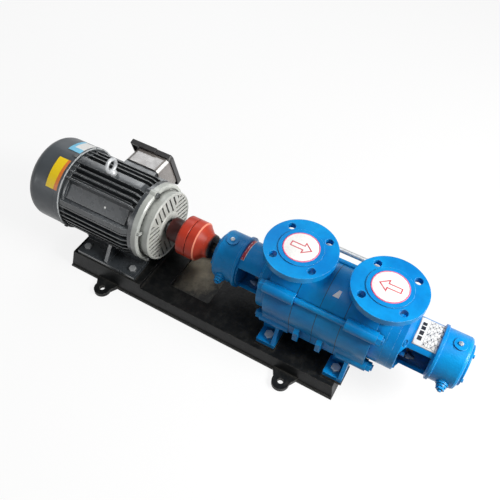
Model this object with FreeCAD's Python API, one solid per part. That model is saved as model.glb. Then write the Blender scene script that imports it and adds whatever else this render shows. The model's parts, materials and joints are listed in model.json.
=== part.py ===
"""Multistage boiler feed pump set: motor, claw coupling and sectional pump on one cast base.

X runs along the shaft from the motor's fan towards the free end of the pump, Y across,
Z up. The origin is the centre of the four anchor holes on the underside of the base.
All sizes are millimetres.
"""
import FreeCAD, Part
import math
import os

V = FreeCAD.Vector
X = V(1, 0, 0)
Y = V(0, 1, 0)
Z = V(0, 0, 1)

# Clearances
RUNNING = 0.3          # between turning and standing surfaces
FIT = 0.05             # radial clearance of a shaft in a bore that is made to fit
BOLT_PLAY = 0.5        # radial clearance of a bolt in a drilled hole
THREAD_PLAY = 0.05     # radial clearance of a nut on its thread

# Fasteners, as shares of the thread's radius
HEAD_FLATS = 1.6       # half across the flats
HEAD_THICK = 1.3
NUT_FLATS = 1.65
NUT_THICK = 1.5

# Base
BASE_END_MARGIN = 18.0     # beyond the pump's last foot bolts
BASE_SIDE_MARGIN = 33.5    # beyond the motor's foot bolts
DECK_HEIGHT = 40.0
MOTOR_STEP = 13.0
WALL_DRAFT = 0.185     # inward slope of the side walls, mm per mm of height
BASE_WALL = 8.0
BASE_LIP = 3.0
BASE_LIP_HEIGHT = 6.0
STEP_MARGIN = 20.0     # raised platform beyond the motor's feet
PAD_HEIGHT = 5.0
PAD_MARGIN = 2.0       # pad beyond the pump's foot
WEB_FOOT = 12.0        # webs under the deck end above the ground
PUMP_BOSS = 18.0       # depth of the tapped bosses under the deck
PUMP_BOSS_R = 11.0
PUMP_BOSS_FLOOR = 2.0
WINDOW_X0 = -99.0
WINDOW_LENGTH = 112.0
WINDOW_WIDTH = 146.0
WINDOW_CORNER = 6.0
ANCHOR_INSET = 119.0   # from the base's ends
ANCHOR_OUTSET = 23.5   # from its sides at the ground
ANCHOR_HOLE_R = 7.0
EAR_R = 21.0
EAR_THICKNESS = 11.0
EAR_ROOT = 34.0        # half length of an ear where it meets the wall

# Shaft line
MOTOR_HEIGHT = 112.0   # motor feet to shaft centre
AXIS_Z = DECK_HEIGHT + MOTOR_STEP + MOTOR_HEIGHT

# Motor
MOTOR_FOOT_X = -264.0  # middle of the motor's foot holes
MOTOR_FOOT_SPACING_X = 140.0
MOTOR_FOOT_SPACING_Y = 190.0
MOTOR_FOOT_LENGTH = 174.0
MOTOR_FOOT_EDGE = 116.0
MOTOR_FOOT_INNER = 52.0
MOTOR_FOOT_THICK = 12.0
MOTOR_GUSSET = 10.0
MOTOR_BOLT_R = 5.0
MOTOR_SHOULDER = 70.0  # front foot hole to the shaft shoulder
MOTOR_SHAFT_R = 14.0
MOTOR_JOURNAL_R = 15.0
FRAME_X0 = -392.0
FRAME_X1 = -182.0
FRAME_CORE_R = 88.0
FRAME_BORE_R = 80.0
FIN_R = 103.0
FIN_THICK = 3.2
FIN_PITCH = 15.0
FIN_SLOPE = 24.0       # length over which a fin runs down to the end ring
FIN_END = 6.0          # what is left of a fin at the end ring
FIN_ROOT = 40.0
RIB_WIDTH = 22.0       # flat rib that carries the eyebolt
RIB_ROOT = 60.0
SIDE_FINS = 7
TOP_FINS = 3
FRAME_RING = 10.0
FRAME_RING_RISE = 11.0
SHIELD_R = 99.0
SHIELD_RIM = 16.0
SHIELD_FACE_R = 88.0
SHIELD_FACE_X = -141.0
SHIELD_WALL = 7.0
SHIELD_LIP = 4.0       # in front of the bearing
SHIELD_STEP = 3.0
SHIELD_GROOVE = 9.0      # from the rim to the groove inside it
SHIELD_GROOVE_DEPTH = 4.0
SHIELD_DRUM_IN = 4.0    # the drum is smaller than its face
SHIELD_TAB_ANGLE = -27.0
SHIELD_TAB = 6.0
SHIELD_SLOT = 5.0
SHIELD_SLOT_WIDTH = 5.0
SHIELD_SECTORS = ((0, 11, 15.0), (90, 79, 12.5), (180, 191, 15.0), (270, 259, 12.5))
SECTOR_RIB = 3.0        # half the rib between two sectors
LUG_R = 9.0
SHIELD_BOLT_R = 95.0
SLOT_INNER_R = 40.0
SLOT_OUTER_R = 81.0
FAN_RIM = 14.0
FAN_RIM_R = 104.5
FAN_SEAT_DEPTH = 6.0   # rear bearing behind the wall
SHELF_Z = 32.0
SHELF_THICK = 12.0
PLATE_FLAT = 54.0      # smooth flat for the name plate
PLATE_FLAT_RISE = 2.5
PLATE_FLAT_ANGLE = 44.0
LUG_BOLT_R = 4.0
STATOR_X0 = -345.0
STATOR_LENGTH = 120.0
STATOR_BORE_R = 49.0
STATOR_SLOTS = 18
SLOT_DEPTH = 16.0
SLOT_WIDTH = 8.0
WINDING_REACH = 26.0
AIR_GAP = 0.5
ROTOR_SEAT_R = 18.0
END_RING_R = 28.0      # bore of the cage's end rings
MOTOR_BEARING_R = 36.0
MOTOR_BEARING_WIDTH = 19.0
MOTOR_RACE_IN_R = 20.0
MOTOR_RACE_OUT_R = 30.0
MOTOR_ROLLERS = 8
COWL_X0 = -494.0
COWL_R = 106.8
COWL_WALL = 2.0
COWL_ROUND = 26.0
COWL_BAND = 1.2
COWL_BAND_WIDTH = 12.0
COWL_SCREW_R = 2.5
COWL_SCREWS = 3
COWL_SCREW_START = -32.0
COWL_SCREW_INSET = 6.0   # from the cowl's open edge
COWL_SCREW_HEAD_R = 4.5
COWL_SCREW_HEAD = 2.6
COWL_SCREW_GRIP = 11.0
COWL_AIR_RINGS = (24.0, 38.0, 52.0, 66.0)
COWL_AIR_WIDTH = 7.0
COWL_SPOKES = 6
COWL_SPOKE = 10.0
COWL_SPOKE_REACH = 90.0
FAN_R = 84.0
FAN_BLADES = 7
FAN_WIDTH = 26.0
FAN_SEAT_R = 10.0
FAN_HUB = 8.0
FAN_PLATE = 3.0
FAN_FRONT = 26.0        # from the frame's rear face
SHAFT_REAR = 32.0       # from the cowl's end to the shaft's rear end
FAN_SHOULDER = 24.0
ROTOR_END = 8.0         # length of the cage's end rings
ROTOR_END_STEP = 3.0
KEY_WIDTH = 8.0
KEY_IN = 4.0            # depth in the shaft
KEY_OUT = 3.0
MOTOR_KEY_START = 8.0   # from the shoulder
MOTOR_KEY_END = 12.0    # from the shaft's end
SHAFT_CHAMFER = 1.5
BOX_X0 = -335.0
BOX_LENGTH = 101.0
BOX_TOP = 58.0         # above the shaft
BOX_DEPTH = 102.0
BOX_Y0 = 96.0
BOX_Y1 = 150.0
BOX_WALL = 4.0
BOX_CORNER = 14.0
LID_TILT = 14.0
LID_SHIFT = -6.0       # the lid stands out more at the fan end
LID_LENGTH = 122.0
LID_HEIGHT = 124.0
LID_THICK = 7.0
LID_LIP = 6.0
LID_NOTCH = 3.0
LID_STEP_AT = 14.0     # past the middle of the lid
LID_CORNER = 14.0
LID_SCREW_R = 2.0
LID_SCREW_INSET = 9.0
LID_SCREW_GRIP = 9.0   # into the bosses
LID_SCREW_HEAD = 3.0
LID_BOSS_R = 6.0
LID_BOSS = 24.0
LEAD_WAY_R = 14.0      # way for the leads from the windings to the box
CABLE_GLAND_R = 10.0
CABLE_R = 5.5
CABLE_CLEAR = 2.5      # between the cable and the base
CABLE_GLAND_SHIFT = -22.0   # towards the fan end, clear of the base's ear
CABLE_GLAND_NUT = 8.0
CABLE_GLAND_DOME = 10.0
TERMINAL_BLOCK = 54.0
TERMINAL_BLOCK_DEPTH = 14.0
TERMINAL_BLOCK_LOW = 15.0   # above the middle of the box
TERMINAL_BLOCK_HEIGHT = 20.0
TERMINAL_STUD_R = 2.2
TERMINAL_STUD = 12.0
TERMINAL_STUD_PITCH = 17.0
EYE_X = -292.0
EYE_SEAT = 104.0
EYE_R = 16.0           # middle of the ring's bar
EYE_BAR_R = 4.5
EYE_NECK = 6.0
EYE_COLLAR_R = 11.0
EYE_SHANK_R = 5.0

# Coupling
COUPLING_X = -67.0     # middle of the groove between the halves
COUPLING_GROOVE = 1.6
COUPLING_R = 49.2
COUPLING_DISC = 23.0
MOTOR_HUB_LENGTH = 40.0
HUB_R = 29.5
TAPER_LENGTH = 15.0
PUMP_HUB_LENGTH = 15.0
JAW_OUT_R = 42.0
JAW_IN_R = 20.0
JAW_PLATE = 9.0
JAW_REACH = 8.0
JAWS = 3
JAW_ANGLE = 42.0
JAW_CLEAR = 1.5         # round the jaws, inside the rim
SPIDER_PLAY = 1.6
HUB_BEVEL = 2.0
RIM_BEVEL = 4.0
SHAFT_END_GAP = 1.5
PUMP_KEY_START = 2.0    # from the disc's back
PUMP_KEY_END = 6.0      # from the hub's end

# Pump casings
DRIVE_FACE_X = 154.0   # drive bracket meets the suction casing
SUCTION_LENGTH = 76.0
STAGE_LENGTH = 55.0
MIDDLE_STAGES = 2
DISCHARGE_LENGTH = 76.0
NECK_LENGTH = 17.0
COVER_LENGTH = 18.0
CASING_R = 88.0
FLANK_Y = 82.0         # flat sides of the lower half
TUNNEL_R = 10.5        # wall round each lower tie rod
CASING_BORE_R = 78.0
END_R = 76.0
SPIGOT = 4.0
SPIGOT_R = 82.0
SUCTION_PORT_X = 202.0
PORT_SPACING = 197.0
FLANGE_HEIGHT = 137.0  # flange face above the shaft
FLANGE_R = 80.0
FLANGE_THICK = 17.0
FLANGE_PCD = 125.0
FLANGE_HOLE_R = 9.0
FLANGE_HOLES = 4
RAISED_FACE_R = 49.0
RAISED_FACE = 2.0
PORT_R = 25.0
NOZZLE_R = 36.0
NOZZLE_FLARE = 10.0
NOZZLE_ROOT = 70.0     # above the shaft
NOZZLE_COLLAR = 6.0
THROAT_R = 19.0
SUCTION_THROAT_SHIFT = 5.0    # towards the drive end
DISCHARGE_THROAT_SHIFT = 12.0
ROD_Y = 72.0
ROD_Z = 56.0
ROD_R = 7.0
ROD_BOSS_R = 14.0
ROD_NUT = 10.0
ROD_STUB = 4.0
ROD_NUT_R = 11.0        # half across the nut's flats
ROD_SEAT = 4.0          # the rods' bosses start behind the drive face
SIDE_LUG = 12.0
SIDE_LUG_AT = 16.0      # from the casing's face
SIDE_LUG_TOP = 22.0     # below the shaft
SIDE_LUG_END = 62.0
PUMP_BOLT_Y = 85.0
PUMP_BOLT_X0 = 187.5
PUMP_BOLT_SPACING = 169.5
PUMP_FOOT_LENGTH = 46.0
PUMP_FOOT_EDGE = 106.0
PUMP_FOOT_INNER = 58.0
PUMP_FOOT_THICK = 13.0
PUMP_BOLT_R = 6.0
FOOT_RIB = 9.0

# Pump inside
SHAFT_R = 12.5
SLEEVE_R = 17.0
EYE_HUB_R = 30.0
WEAR_RING_R = 35.0
IMPELLER_R = 60.0
IMPELLER_WIDTH = 8.0
SHROUD = 3.0
IMPELLER_VANES = 6
VANE_THICK = 3.0
DIFFUSER_GAP = 1.5
DIFFUSER_VANES = 7
DIAPHRAGM = 9.0
IMPELLER_AT = 12.0      # front shroud behind the casing's face
IMPELLER_HUB_R = 21.0
IMPELLER_BACK_R = 26.0  # where the vanes leave the hub
HUB_START = 4.0
HUB_END = 34.0
VANE_SWEEP = -52.0
GUIDE_SWEEP = 34.0
RETURN_SWEEP = -30.0
DIFFUSER_PLATE = 4.0
CHAMBER_AT = 22.0       # suction chamber behind the drive face
CHAMBER_EDGE = 6.0
DRUM_AT = 10.0          # the suction casing's drum behind the drive face
DISCHARGE_WALL = 14.0
SLEEVE_REACH = 24.0     # past the stuffing boxes
BOX_BORE_R = 27.0      # stuffing box
BOX_DEEP = 12.0
STUFFING_R = 34.0
STUFFING_OUT = 26.0
PACKING_RINGS = 3
PACKING = 9.0
GLAND_R = 33.0
GLAND_FLANGE = 8.0
GLAND_GAP = 4.0
GLAND_BOLT_R = 3.0
GLAND_STUD_Y = 39.0
GLAND_LUG_R = 7.0
GLAND_LUG = 12.0
STUD_IN = 10.0
STUD_OUT = 8.0
BALANCE_DISC_R = 48.0
BALANCE_DISC = 8.0
BALANCE_BACK = 22.0     # the chamber's wall before the cover
BALANCE_ROOM = 6.0      # round the disc
BALANCE_RING = 2.0
RING_SEAT = 8.0
RING_SEAT_IN = 10.0     # seat smaller than the disc
DISC_HUB = 6.0
COVER_SPIGOT = 4.0

# Bearing brackets, measured from the face on the casing outwards
BRACKET_R = 56.5
BRACKET_BORE_R = 49.0
BRACKET_FLANGE = 13.0
BRACKET_FLARE = 10.0
WINDOW_END = 76.0
WINDOW_HALF = 34.0
RING_START = 78.0
RING_WIDTH = 10.0
RING_R = 62.5
HOUSING_R = 58.5
HOUSING_END = 141.0
HOUSING_ROUND = 6.0
NIPPLE_AT = 116.0
BEARING_R = 31.0
BEARING_WIDTH = 17.0
BEARING_AT = 107.0
RACE_IN_R = 18.0
RACE_OUT_R = 26.0
ROLLERS = 9
COVER_R = 46.0
COVER_THICK = 6.0
COVER_SCREW_PCR = 38.5
COVER_SCREW_R = 2.5
NIPPLE_BOSS_R = 14.0
NIPPLE_BOSS = 2.0       # above the housing
NIPPLE_THREAD_R = 3.0
NIPPLE_THREAD = 8.0
NIPPLE_FLATS = 4.5
NIPPLE_HEX = 3.0
NIPPLE_TIP = 4.0
NIPPLE_TIP_R = 2.0
PLUG_BOSS_R = 13.0
PLUG_BOSS = 4.0
PLUG_THREAD_R = 4.0
PLUG_THREAD = 11.0
PLUG_COLLAR_R = 10.5
PLUG_COLLAR = 5.0
PLUG_FLATS = 8.0
PLUG_HEX = 6.0
PLUG_TIP = 4.0
PLUG_ANGLE = -12.0     # below the horizontal on the near side
BRACKET_BOLTS = 4
BRACKET_BOLT_PCR = 66.0
BRACKET_BOLT_R = 4.0
BRACKET_BOLT_GRIP = 13.0    # into the casing
BRACKET_TAP = 15.0
BRACKET_SEAT_R = 8.5
BRACKET_SEAT = 14.0
COVER_SCREW_GRIP = 10.0

# Balance pipe
PIPE_R = 6.0
PIPE_WALL = 1.5
PIPE_ANGLE = 160.0     # from the near side, over the top
PIPE_LINE_R = 122.0
PIPE_BEND_R = 20.0
PIPE_X0 = 178.0
UNION_R = 11.0
UNION_LENGTH = 9.0
UNION_THREAD = 2.0      # thread outside the pipe
UNION_DEPTH = 9.0

# Places worked out from the sizes above
BASE_LENGTH = 2 * (PUMP_BOLT_X0 + PUMP_BOLT_SPACING + BASE_END_MARGIN)
BASE_WIDTH = MOTOR_FOOT_SPACING_Y + 2 * BASE_SIDE_MARGIN
ANCHOR_SPACING_X = BASE_LENGTH - 2 * ANCHOR_INSET
ANCHOR_SPACING_Y = BASE_WIDTH + 2 * ANCHOR_OUTSET
STEP_X = MOTOR_FOOT_X + MOTOR_FOOT_LENGTH / 2 + STEP_MARGIN
SHOULDER_X = MOTOR_FOOT_X + MOTOR_FOOT_SPACING_X / 2 + MOTOR_SHOULDER
STAGE_X = DRIVE_FACE_X + SUCTION_LENGTH
DISCHARGE_X = STAGE_X + MIDDLE_STAGES * STAGE_LENGTH
NECK_X = DISCHARGE_X + DISCHARGE_LENGTH
COVER_X = NECK_X + NECK_LENGTH
FREE_FACE_X = COVER_X + COVER_LENGTH
DISCHARGE_PORT_X = SUCTION_PORT_X + PORT_SPACING
STAGES = MIDDLE_STAGES + 1
DIFFUSER_R = CASING_BORE_R - FIT
SHIELD_RIM_X = FRAME_X1 + SHIELD_RIM
BALANCE_WALL_X = COVER_X - BALANCE_BACK


def cylinder(x0, x1, r, y=0.0, z=0.0):
    """A round bar along X, placed from the shaft line."""
    return Part.makeCylinder(r, x1 - x0, V(x0, y, AXIS_Z + z), X)


def upright(x, y, z0, z1, r):
    """A round bar along Z at real heights."""
    return Part.makeCylinder(r, z1 - z0, V(x, y, z0), Z)


def block(x0, x1, y0, y1, z0, z1):
    """A box at real heights."""
    return Part.makeBox(x1 - x0, y1 - y0, z1 - z0, V(x0, y0, z0))


def axis_block(x0, x1, y0, y1, z0, z1):
    """A box whose heights are measured from the shaft line."""
    return block(x0, x1, y0, y1, AXIS_Z + z0, AXIS_Z + z1)


def section(x0, x1, points):
    """Push a closed outline of (y, real height) points from x0 to x1."""
    corners = [V(x0, y, z) for y, z in points]
    return Part.Face(Part.makePolygon(corners + corners[:1])).extrude(X * (x1 - x0))


def turned(points):
    """Revolve a closed outline of (x, radius) points about the shaft line."""
    corners = [V(x, 0, AXIS_Z + r) for x, r in points]
    face = Part.Face(Part.makePolygon(corners + corners[:1]))
    return face.revolve(V(0, 0, AXIS_Z), X, 360)


def ring(x0, x1, inner, outer):
    """A plain ring about the shaft line."""
    return cylinder(x0, x1, outer).cut(cylinder(x0 - 1, x1 + 1, inner))


def about_shaft(shape, angle):
    """A copy turned about the shaft line, in degrees."""
    copy = shape.copy()
    copy.rotate(V(0, 0, AXIS_Z), X, angle)
    return copy


def spread(shape, count, start=0.0):
    """Copies spaced evenly about the shaft line."""
    return [about_shaft(shape, start + i * 360.0 / count) for i in range(count)]


def mirrored(shape):
    """The copy on the other side of the shaft's upright plane."""
    return shape.mirror(V(0, 0, 0), Y)


def fused(shapes):
    """One solid from pieces that touch."""
    return shapes[0].multiFuse(list(shapes[1:])).removeSplitter()


def hexagon(x, y, z, r, length, along):
    """A hexagon bar; r is half the distance across its flats."""
    corner = r / math.cos(math.pi / 6)
    across = V(0, 1, 0) if abs(along.y) < 0.5 else V(1, 0, 0)
    side = along.cross(across)
    points = []
    for i in range(7):
        turn = math.radians(60.0 * i)
        points.append(V(x, y, z) + across * (corner * math.cos(turn)) + side * (corner * math.sin(turn)))
    return Part.Face(Part.makePolygon(points)).extrude(along * length)


def turned_hexagon(start, r, length, out):
    """A hexagon bar that stands out from the shaft, two of its corners on a line along X."""
    side = out.cross(X)
    corner = r / math.cos(math.pi / 6)
    points = []
    for i in range(7):
        turn = math.radians(60.0 * i)
        points.append(start + X * (corner * math.cos(turn)) + side * (corner * math.sin(turn)))
    return Part.Face(Part.makePolygon(points)).extrude(out * length)


def bolt(x, y, z, r, length, along):
    """A hexagon bolt: its head sits at the point, its shank runs along the vector."""
    head = hexagon(x, y, z, HEAD_FLATS * r, HEAD_THICK * r, -along)
    shank = Part.makeCylinder(r, length, V(x, y, z), along)
    return head.fuse(shank).removeSplitter()


def nut(x, y, z, r, along):
    """A hexagon nut on a thread of radius r."""
    body = hexagon(x, y, z, NUT_FLATS * r, NUT_THICK * r, along)
    return body.cut(Part.makeCylinder(r + THREAD_PLAY, 4 * r, V(x, y, z) - along * r, along))


def radial(angle):
    """Unit vector from the shaft; 0 is the near side, 90 straight up."""
    turn = math.radians(angle)
    return V(0, -math.cos(turn), math.sin(turn))


def on_radius(x, radius, angle):
    """A point at a distance from the shaft line."""
    return V(x, 0, AXIS_Z) + radial(angle) * radius


def edges_where(shape, test):
    """Edges whose middle point passes a test."""
    found = []
    for edge in shape.Edges:
        middle = edge.valueAt((edge.FirstParameter + edge.LastParameter) / 2)
        if test(edge, middle):
            found.append(edge)
    return found


def runs_along(edge, direction):
    """Whether an edge starts off along a direction, one way or the other."""
    return abs(edge.tangentAt(edge.FirstParameter).dot(direction)) > 0.9


def round_circles(shape, x, r, size):
    """Round the full circles of one radius at one place along the shaft."""
    def wanted(edge, middle):
        curve = edge.Curve
        if not isinstance(curve, Part.Circle):
            return False
        return abs(curve.Radius - r) < 0.01 and abs(curve.Center.x - x) < 0.01
    return shape.makeFillet(size, edges_where(shape, wanted))


def frustum(length, width, height, draft, z0=0.0, x_middle=0.0):
    """A box whose sides lean inwards as they rise."""
    def outline(z, inset):
        a = length / 2 - inset
        b = width / 2 - inset
        corners = [V(x_middle + i * a, j * b, z) for i, j in ((-1, -1), (1, -1), (1, 1), (-1, 1))]
        return Part.makePolygon(corners + corners[:1])
    return Part.makeLoft([outline(z0, 0.0), outline(z0 + height, draft * height)], True, True)


def base_ear(sx, sy):
    """A rounded triangular ear with its anchor hole."""
    x = sx * ANCHOR_SPACING_X / 2
    y = sy * ANCHOR_SPACING_Y / 2
    root_y = sy * (BASE_WIDTH / 2 - BASE_WALL / 2)
    wing = V(x - EAR_ROOT, root_y, 0)
    other = V(x + EAR_ROOT, root_y, 0)
    reach = abs(y - root_y)
    lean = math.atan2(EAR_ROOT, reach) - math.acos(EAR_R / math.hypot(EAR_ROOT, reach))
    touch_x = EAR_R * math.cos(lean)
    touch_y = y - sy * EAR_R * math.sin(-lean)
    outline = Part.makePolygon([wing, V(x - touch_x, touch_y, 0), V(x + touch_x, touch_y, 0), other, wing])
    plate = Part.Face(outline).extrude(Z * EAR_THICKNESS)
    round_end = upright(x, y, 0, EAR_THICKNESS, EAR_R)
    return plate.fuse(round_end)


def base_frame():
    """Hollow cast tray with a raised motor platform, pump pads and four anchor ears."""
    top = DECK_HEIGHT + MOTOR_STEP
    body = frustum(BASE_LENGTH, BASE_WIDTH, top, WALL_DRAFT)
    over_pump = block(STEP_X, BASE_LENGTH, -BASE_WIDTH, BASE_WIDTH, DECK_HEIGHT, top + 10)
    body = body.cut(over_pump)
    lip = frustum(BASE_LENGTH, BASE_WIDTH + 2 * BASE_LIP, BASE_LIP_HEIGHT, WALL_DRAFT)
    pads = []
    for x in (PUMP_BOLT_X0, PUMP_BOLT_X0 + PUMP_BOLT_SPACING):
        for side in (-1, 1):
            y0, y1 = sorted((side * (PUMP_FOOT_INNER - PAD_MARGIN), side * (PUMP_FOOT_EDGE + PAD_MARGIN)))
            half = PUMP_FOOT_LENGTH / 2 + PAD_MARGIN
            pads.append(block(x - half, x + half, y0, y1, DECK_HEIGHT - 1, DECK_HEIGHT + PAD_HEIGHT))
    ears = [base_ear(sx, sy) for sx in (-1, 1) for sy in (-1, 1)]
    body = fused([body, lip] + pads + ears)
    inner_length = BASE_LENGTH - 2 * BASE_WALL
    inner_width = BASE_WIDTH - 2 * BASE_WALL
    hollow = frustum(inner_length, inner_width, top - BASE_WALL, WALL_DRAFT)
    low_roof = block(STEP_X - BASE_WALL, BASE_LENGTH, -BASE_WIDTH, BASE_WIDTH, DECK_HEIGHT - BASE_WALL, top)
    hollow = hollow.cut(low_roof)
    webs = [block(x - BASE_WALL / 2, x + BASE_WALL / 2, -BASE_WIDTH, BASE_WIDTH, WEB_FOOT, top)
            for x in (WINDOW_X0 - 2 * BASE_WALL, WINDOW_X0 + WINDOW_LENGTH + 2 * BASE_WALL)]
    bosses = [upright(x, y, DECK_HEIGHT - PUMP_BOSS, DECK_HEIGHT, PUMP_BOSS_R) for x, y in pump_bolt_places()]
    hollow = hollow.cut(Part.makeCompound(webs + bosses))
    body = body.cut(hollow)
    window = block(WINDOW_X0, WINDOW_X0 + WINDOW_LENGTH, -WINDOW_WIDTH / 2, WINDOW_WIDTH / 2, 0, top)
    upright_edges = edges_where(window, lambda e, m: abs(e.tangentAt(e.FirstParameter).z) > 0.9)
    body = body.cut(window.makeFillet(WINDOW_CORNER, upright_edges))
    holes = []
    for sx in (-1, 1):
        for sy in (-1, 1):
            hole_x = sx * ANCHOR_SPACING_X / 2
            hole_y = sy * ANCHOR_SPACING_Y / 2
            holes.append(upright(hole_x, hole_y, -1, top, ANCHOR_HOLE_R))
    for x, y in motor_bolt_places():
        holes.append(upright(x, y, DECK_HEIGHT - BASE_WALL, top + 1, MOTOR_BOLT_R + BOLT_PLAY))
    for x, y in pump_bolt_places():
        holes.append(upright(x, y, DECK_HEIGHT - PUMP_BOSS + PUMP_BOSS_FLOOR, top, PUMP_BOLT_R + THREAD_PLAY))
    return body.cut(Part.makeCompound(holes))


def motor_bolt_places():
    """Plan positions of the motor's foot holes."""
    dx = MOTOR_FOOT_SPACING_X / 2
    dy = MOTOR_FOOT_SPACING_Y / 2
    return [(MOTOR_FOOT_X + i * dx, j * dy) for i in (-1, 1) for j in (-1, 1)]


def pump_bolt_places():
    """Plan positions of the pump's foot holes."""
    return [(PUMP_BOLT_X0 + i * PUMP_BOLT_SPACING, j * PUMP_BOLT_Y) for i in (0, 1) for j in (-1, 1)]


def foot_bolts(places, head_z, plate_z, r):
    """Bolts with their nuts; the nuts bear on the underside of the deck."""
    pieces = []
    for x, y in places:
        length = head_z - plate_z + 2.4 * r
        pieces.append(bolt(x, y, head_z, r, length, -Z))
        pieces.append(nut(x, y, plate_z, r, -Z))
    return pieces


def motor_foot_bolts():
    """Four bolts and nuts through the motor's feet."""
    top = DECK_HEIGHT + MOTOR_STEP
    return foot_bolts(motor_bolt_places(), top + MOTOR_FOOT_THICK, top - BASE_WALL, MOTOR_BOLT_R)


def pump_foot_bolts():
    """Four bolts through the pump's feet into the bosses under the deck."""
    seat = DECK_HEIGHT + PAD_HEIGHT + PUMP_FOOT_THICK
    length = PUMP_FOOT_THICK + PAD_HEIGHT + BASE_WALL + PUMP_BOLT_R
    return [bolt(x, y, seat, PUMP_BOLT_R, length, -Z) for x, y in pump_bolt_places()]


def fin_trim():
    """The body of revolution that the fins are cut back to."""
    return turned([
        (FRAME_X0, 0), (FRAME_X0, FIN_R), (FRAME_X1 - FIN_SLOPE, FIN_R),
        (FRAME_X1, FRAME_CORE_R + FIN_END), (FRAME_X1, 0)])


def frame_fins():
    """Upright fins over the top, level fins down both sides."""
    fins = []
    for i in range(TOP_FINS):
        y = RIB_WIDTH / 2 + (i + 1) * FIN_PITCH - FIN_THICK
        for side in (-1, 1):
            y0, y1 = sorted((side * y, side * (y + FIN_THICK)))
            fins.append(axis_block(FRAME_X0, FRAME_X1, y0, y1, FIN_ROOT, FIN_R))
    for i in range(SIDE_FINS):
        z = 2.0 * FIN_PITCH - i * FIN_PITCH - FIN_THICK
        for side in (-1, 1):
            y0, y1 = sorted((side * FIN_ROOT, side * FIN_R))
            fins.append(axis_block(FRAME_X0, FRAME_X1, y0, y1, z, z + FIN_THICK))
    return fins


def round_frame(radius, below):
    """The (y, height) of a point round the motor, at an angle below the horizontal."""
    turn = math.radians(below)
    return radius * math.cos(turn), AXIS_Z - radius * math.sin(turn)


def frame_feet():
    """Both feet with the sloping web and the middle gusset that carry them."""
    foot_z = DECK_HEIGHT + MOTOR_STEP
    x0 = MOTOR_FOOT_X - MOTOR_FOOT_LENGTH / 2
    x1 = MOTOR_FOOT_X + MOTOR_FOOT_LENGTH / 2
    top = foot_z + MOTOR_FOOT_THICK
    inner = MOTOR_FOOT_INNER
    edge = MOTOR_FOOT_EDGE - 3
    web = [(inner, foot_z), (inner + 18, top), round_frame(FRAME_CORE_R + 10, 39.2),
           round_frame(FRAME_CORE_R - 6.6, 42.5), round_frame(FRAME_CORE_R - 7, 50)]
    gusset = [(inner, foot_z), (edge, foot_z), (edge, top + 4), round_frame(FRAME_CORE_R + 11, 34.3),
              round_frame(FRAME_CORE_R - 11, 47)]
    pieces = []
    for side in (-1, 1):
        y0, y1 = sorted((side * inner, side * MOTOR_FOOT_EDGE))
        pieces.append(block(x0, x1, y0, y1, foot_z, top))
        pieces.append(section(x0, FRAME_X1, [(side * y, z) for y, z in web]))
        pieces.append(section(MOTOR_FOOT_X - MOTOR_GUSSET / 2, MOTOR_FOOT_X + MOTOR_GUSSET / 2,
                              [(side * y, z) for y, z in gusset]))
    return pieces


def motor_frame():
    """Finned cast shell with feet, name plate flat, eyebolt seat and terminal box pad."""
    core = cylinder(FRAME_X0, FRAME_X1, FRAME_CORE_R)
    rings = [cylinder(FRAME_X0, FRAME_X0 + FRAME_RING, FRAME_CORE_R + FRAME_RING_RISE),
             cylinder(FRAME_X1 - FRAME_RING, FRAME_X1, FRAME_CORE_R + FRAME_RING_RISE)]
    fins = Part.makeCompound(frame_fins()).common(fin_trim())
    half = RIB_WIDTH / 2
    rib = axis_block(FRAME_X0, FRAME_X1, -half, half, RIB_ROOT, FIN_R).common(fin_trim())
    seat = upright(EYE_X, 0, AXIS_Z + FRAME_BORE_R, AXIS_Z + EYE_SEAT, EYE_COLLAR_R)
    shelf = axis_block(FRAME_X0, FRAME_X1 - FIN_END, -FIN_R - 1, -FIN_ROOT, SHELF_Z, SHELF_Z + SHELF_THICK)
    shelf = shelf.common(fin_trim())
    flat = axis_block(FRAME_X0 + FIN_END, FRAME_X1 - FIN_SLOPE, -PLATE_FLAT / 2, PLATE_FLAT / 2,
                      RIB_ROOT, FRAME_CORE_R + PLATE_FLAT_RISE)
    box_pad = axis_block(BOX_X0 + BOX_WALL, BOX_X0 + BOX_LENGTH - BOX_WALL, RIB_ROOT, BOX_Y0,
                         BOX_TOP - BOX_DEPTH + BOX_WALL, BOX_TOP - BOX_WALL)
    body = [core, rib, seat, shelf, mirrored(shelf), about_shaft(flat, PLATE_FLAT_ANGLE), box_pad]
    body = fused(body + rings + fins.Solids + frame_feet() + frame_lugs())
    middle_z = AXIS_Z + BOX_TOP - BOX_DEPTH / 2
    cutters = [cylinder(FRAME_X0 - 1, FRAME_X1 + 1, FRAME_BORE_R)]
    cutters.append(Part.makeCylinder(LEAD_WAY_R, BOX_Y0, V(BOX_X0 + BOX_LENGTH / 2, RIB_ROOT, middle_z), Y))
    cutters.append(axis_block(BOX_X0 - 2, BOX_X0 + BOX_LENGTH + 2, BOX_Y0, BOX_Y0 + 40,
                              BOX_TOP - BOX_DEPTH - 2, BOX_TOP + 2))
    cutters.append(upright(EYE_X, 0, AXIS_Z + FRAME_BORE_R - 5, AXIS_Z + EYE_SEAT + 1,
                           EYE_SHANK_R + THREAD_PLAY))
    foot_top = DECK_HEIGHT + MOTOR_STEP + MOTOR_FOOT_THICK
    for x, y in motor_bolt_places():
        cutters.append(upright(x, y, DECK_HEIGHT, foot_top + 30, MOTOR_BOLT_R + BOLT_PLAY))
        cutters.append(upright(x, y, foot_top, foot_top + 14, 2.1 * MOTOR_BOLT_R))
    for angle in shield_bolt_angles():
        start = on_radius(FRAME_X1 - FRAME_RING - 1, SHIELD_BOLT_R, angle)
        cutters.append(Part.makeCylinder(LUG_BOLT_R + THREAD_PLAY, FRAME_RING + 2, start, X))
    return body.cut(Part.makeCompound(cutters))


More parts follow.
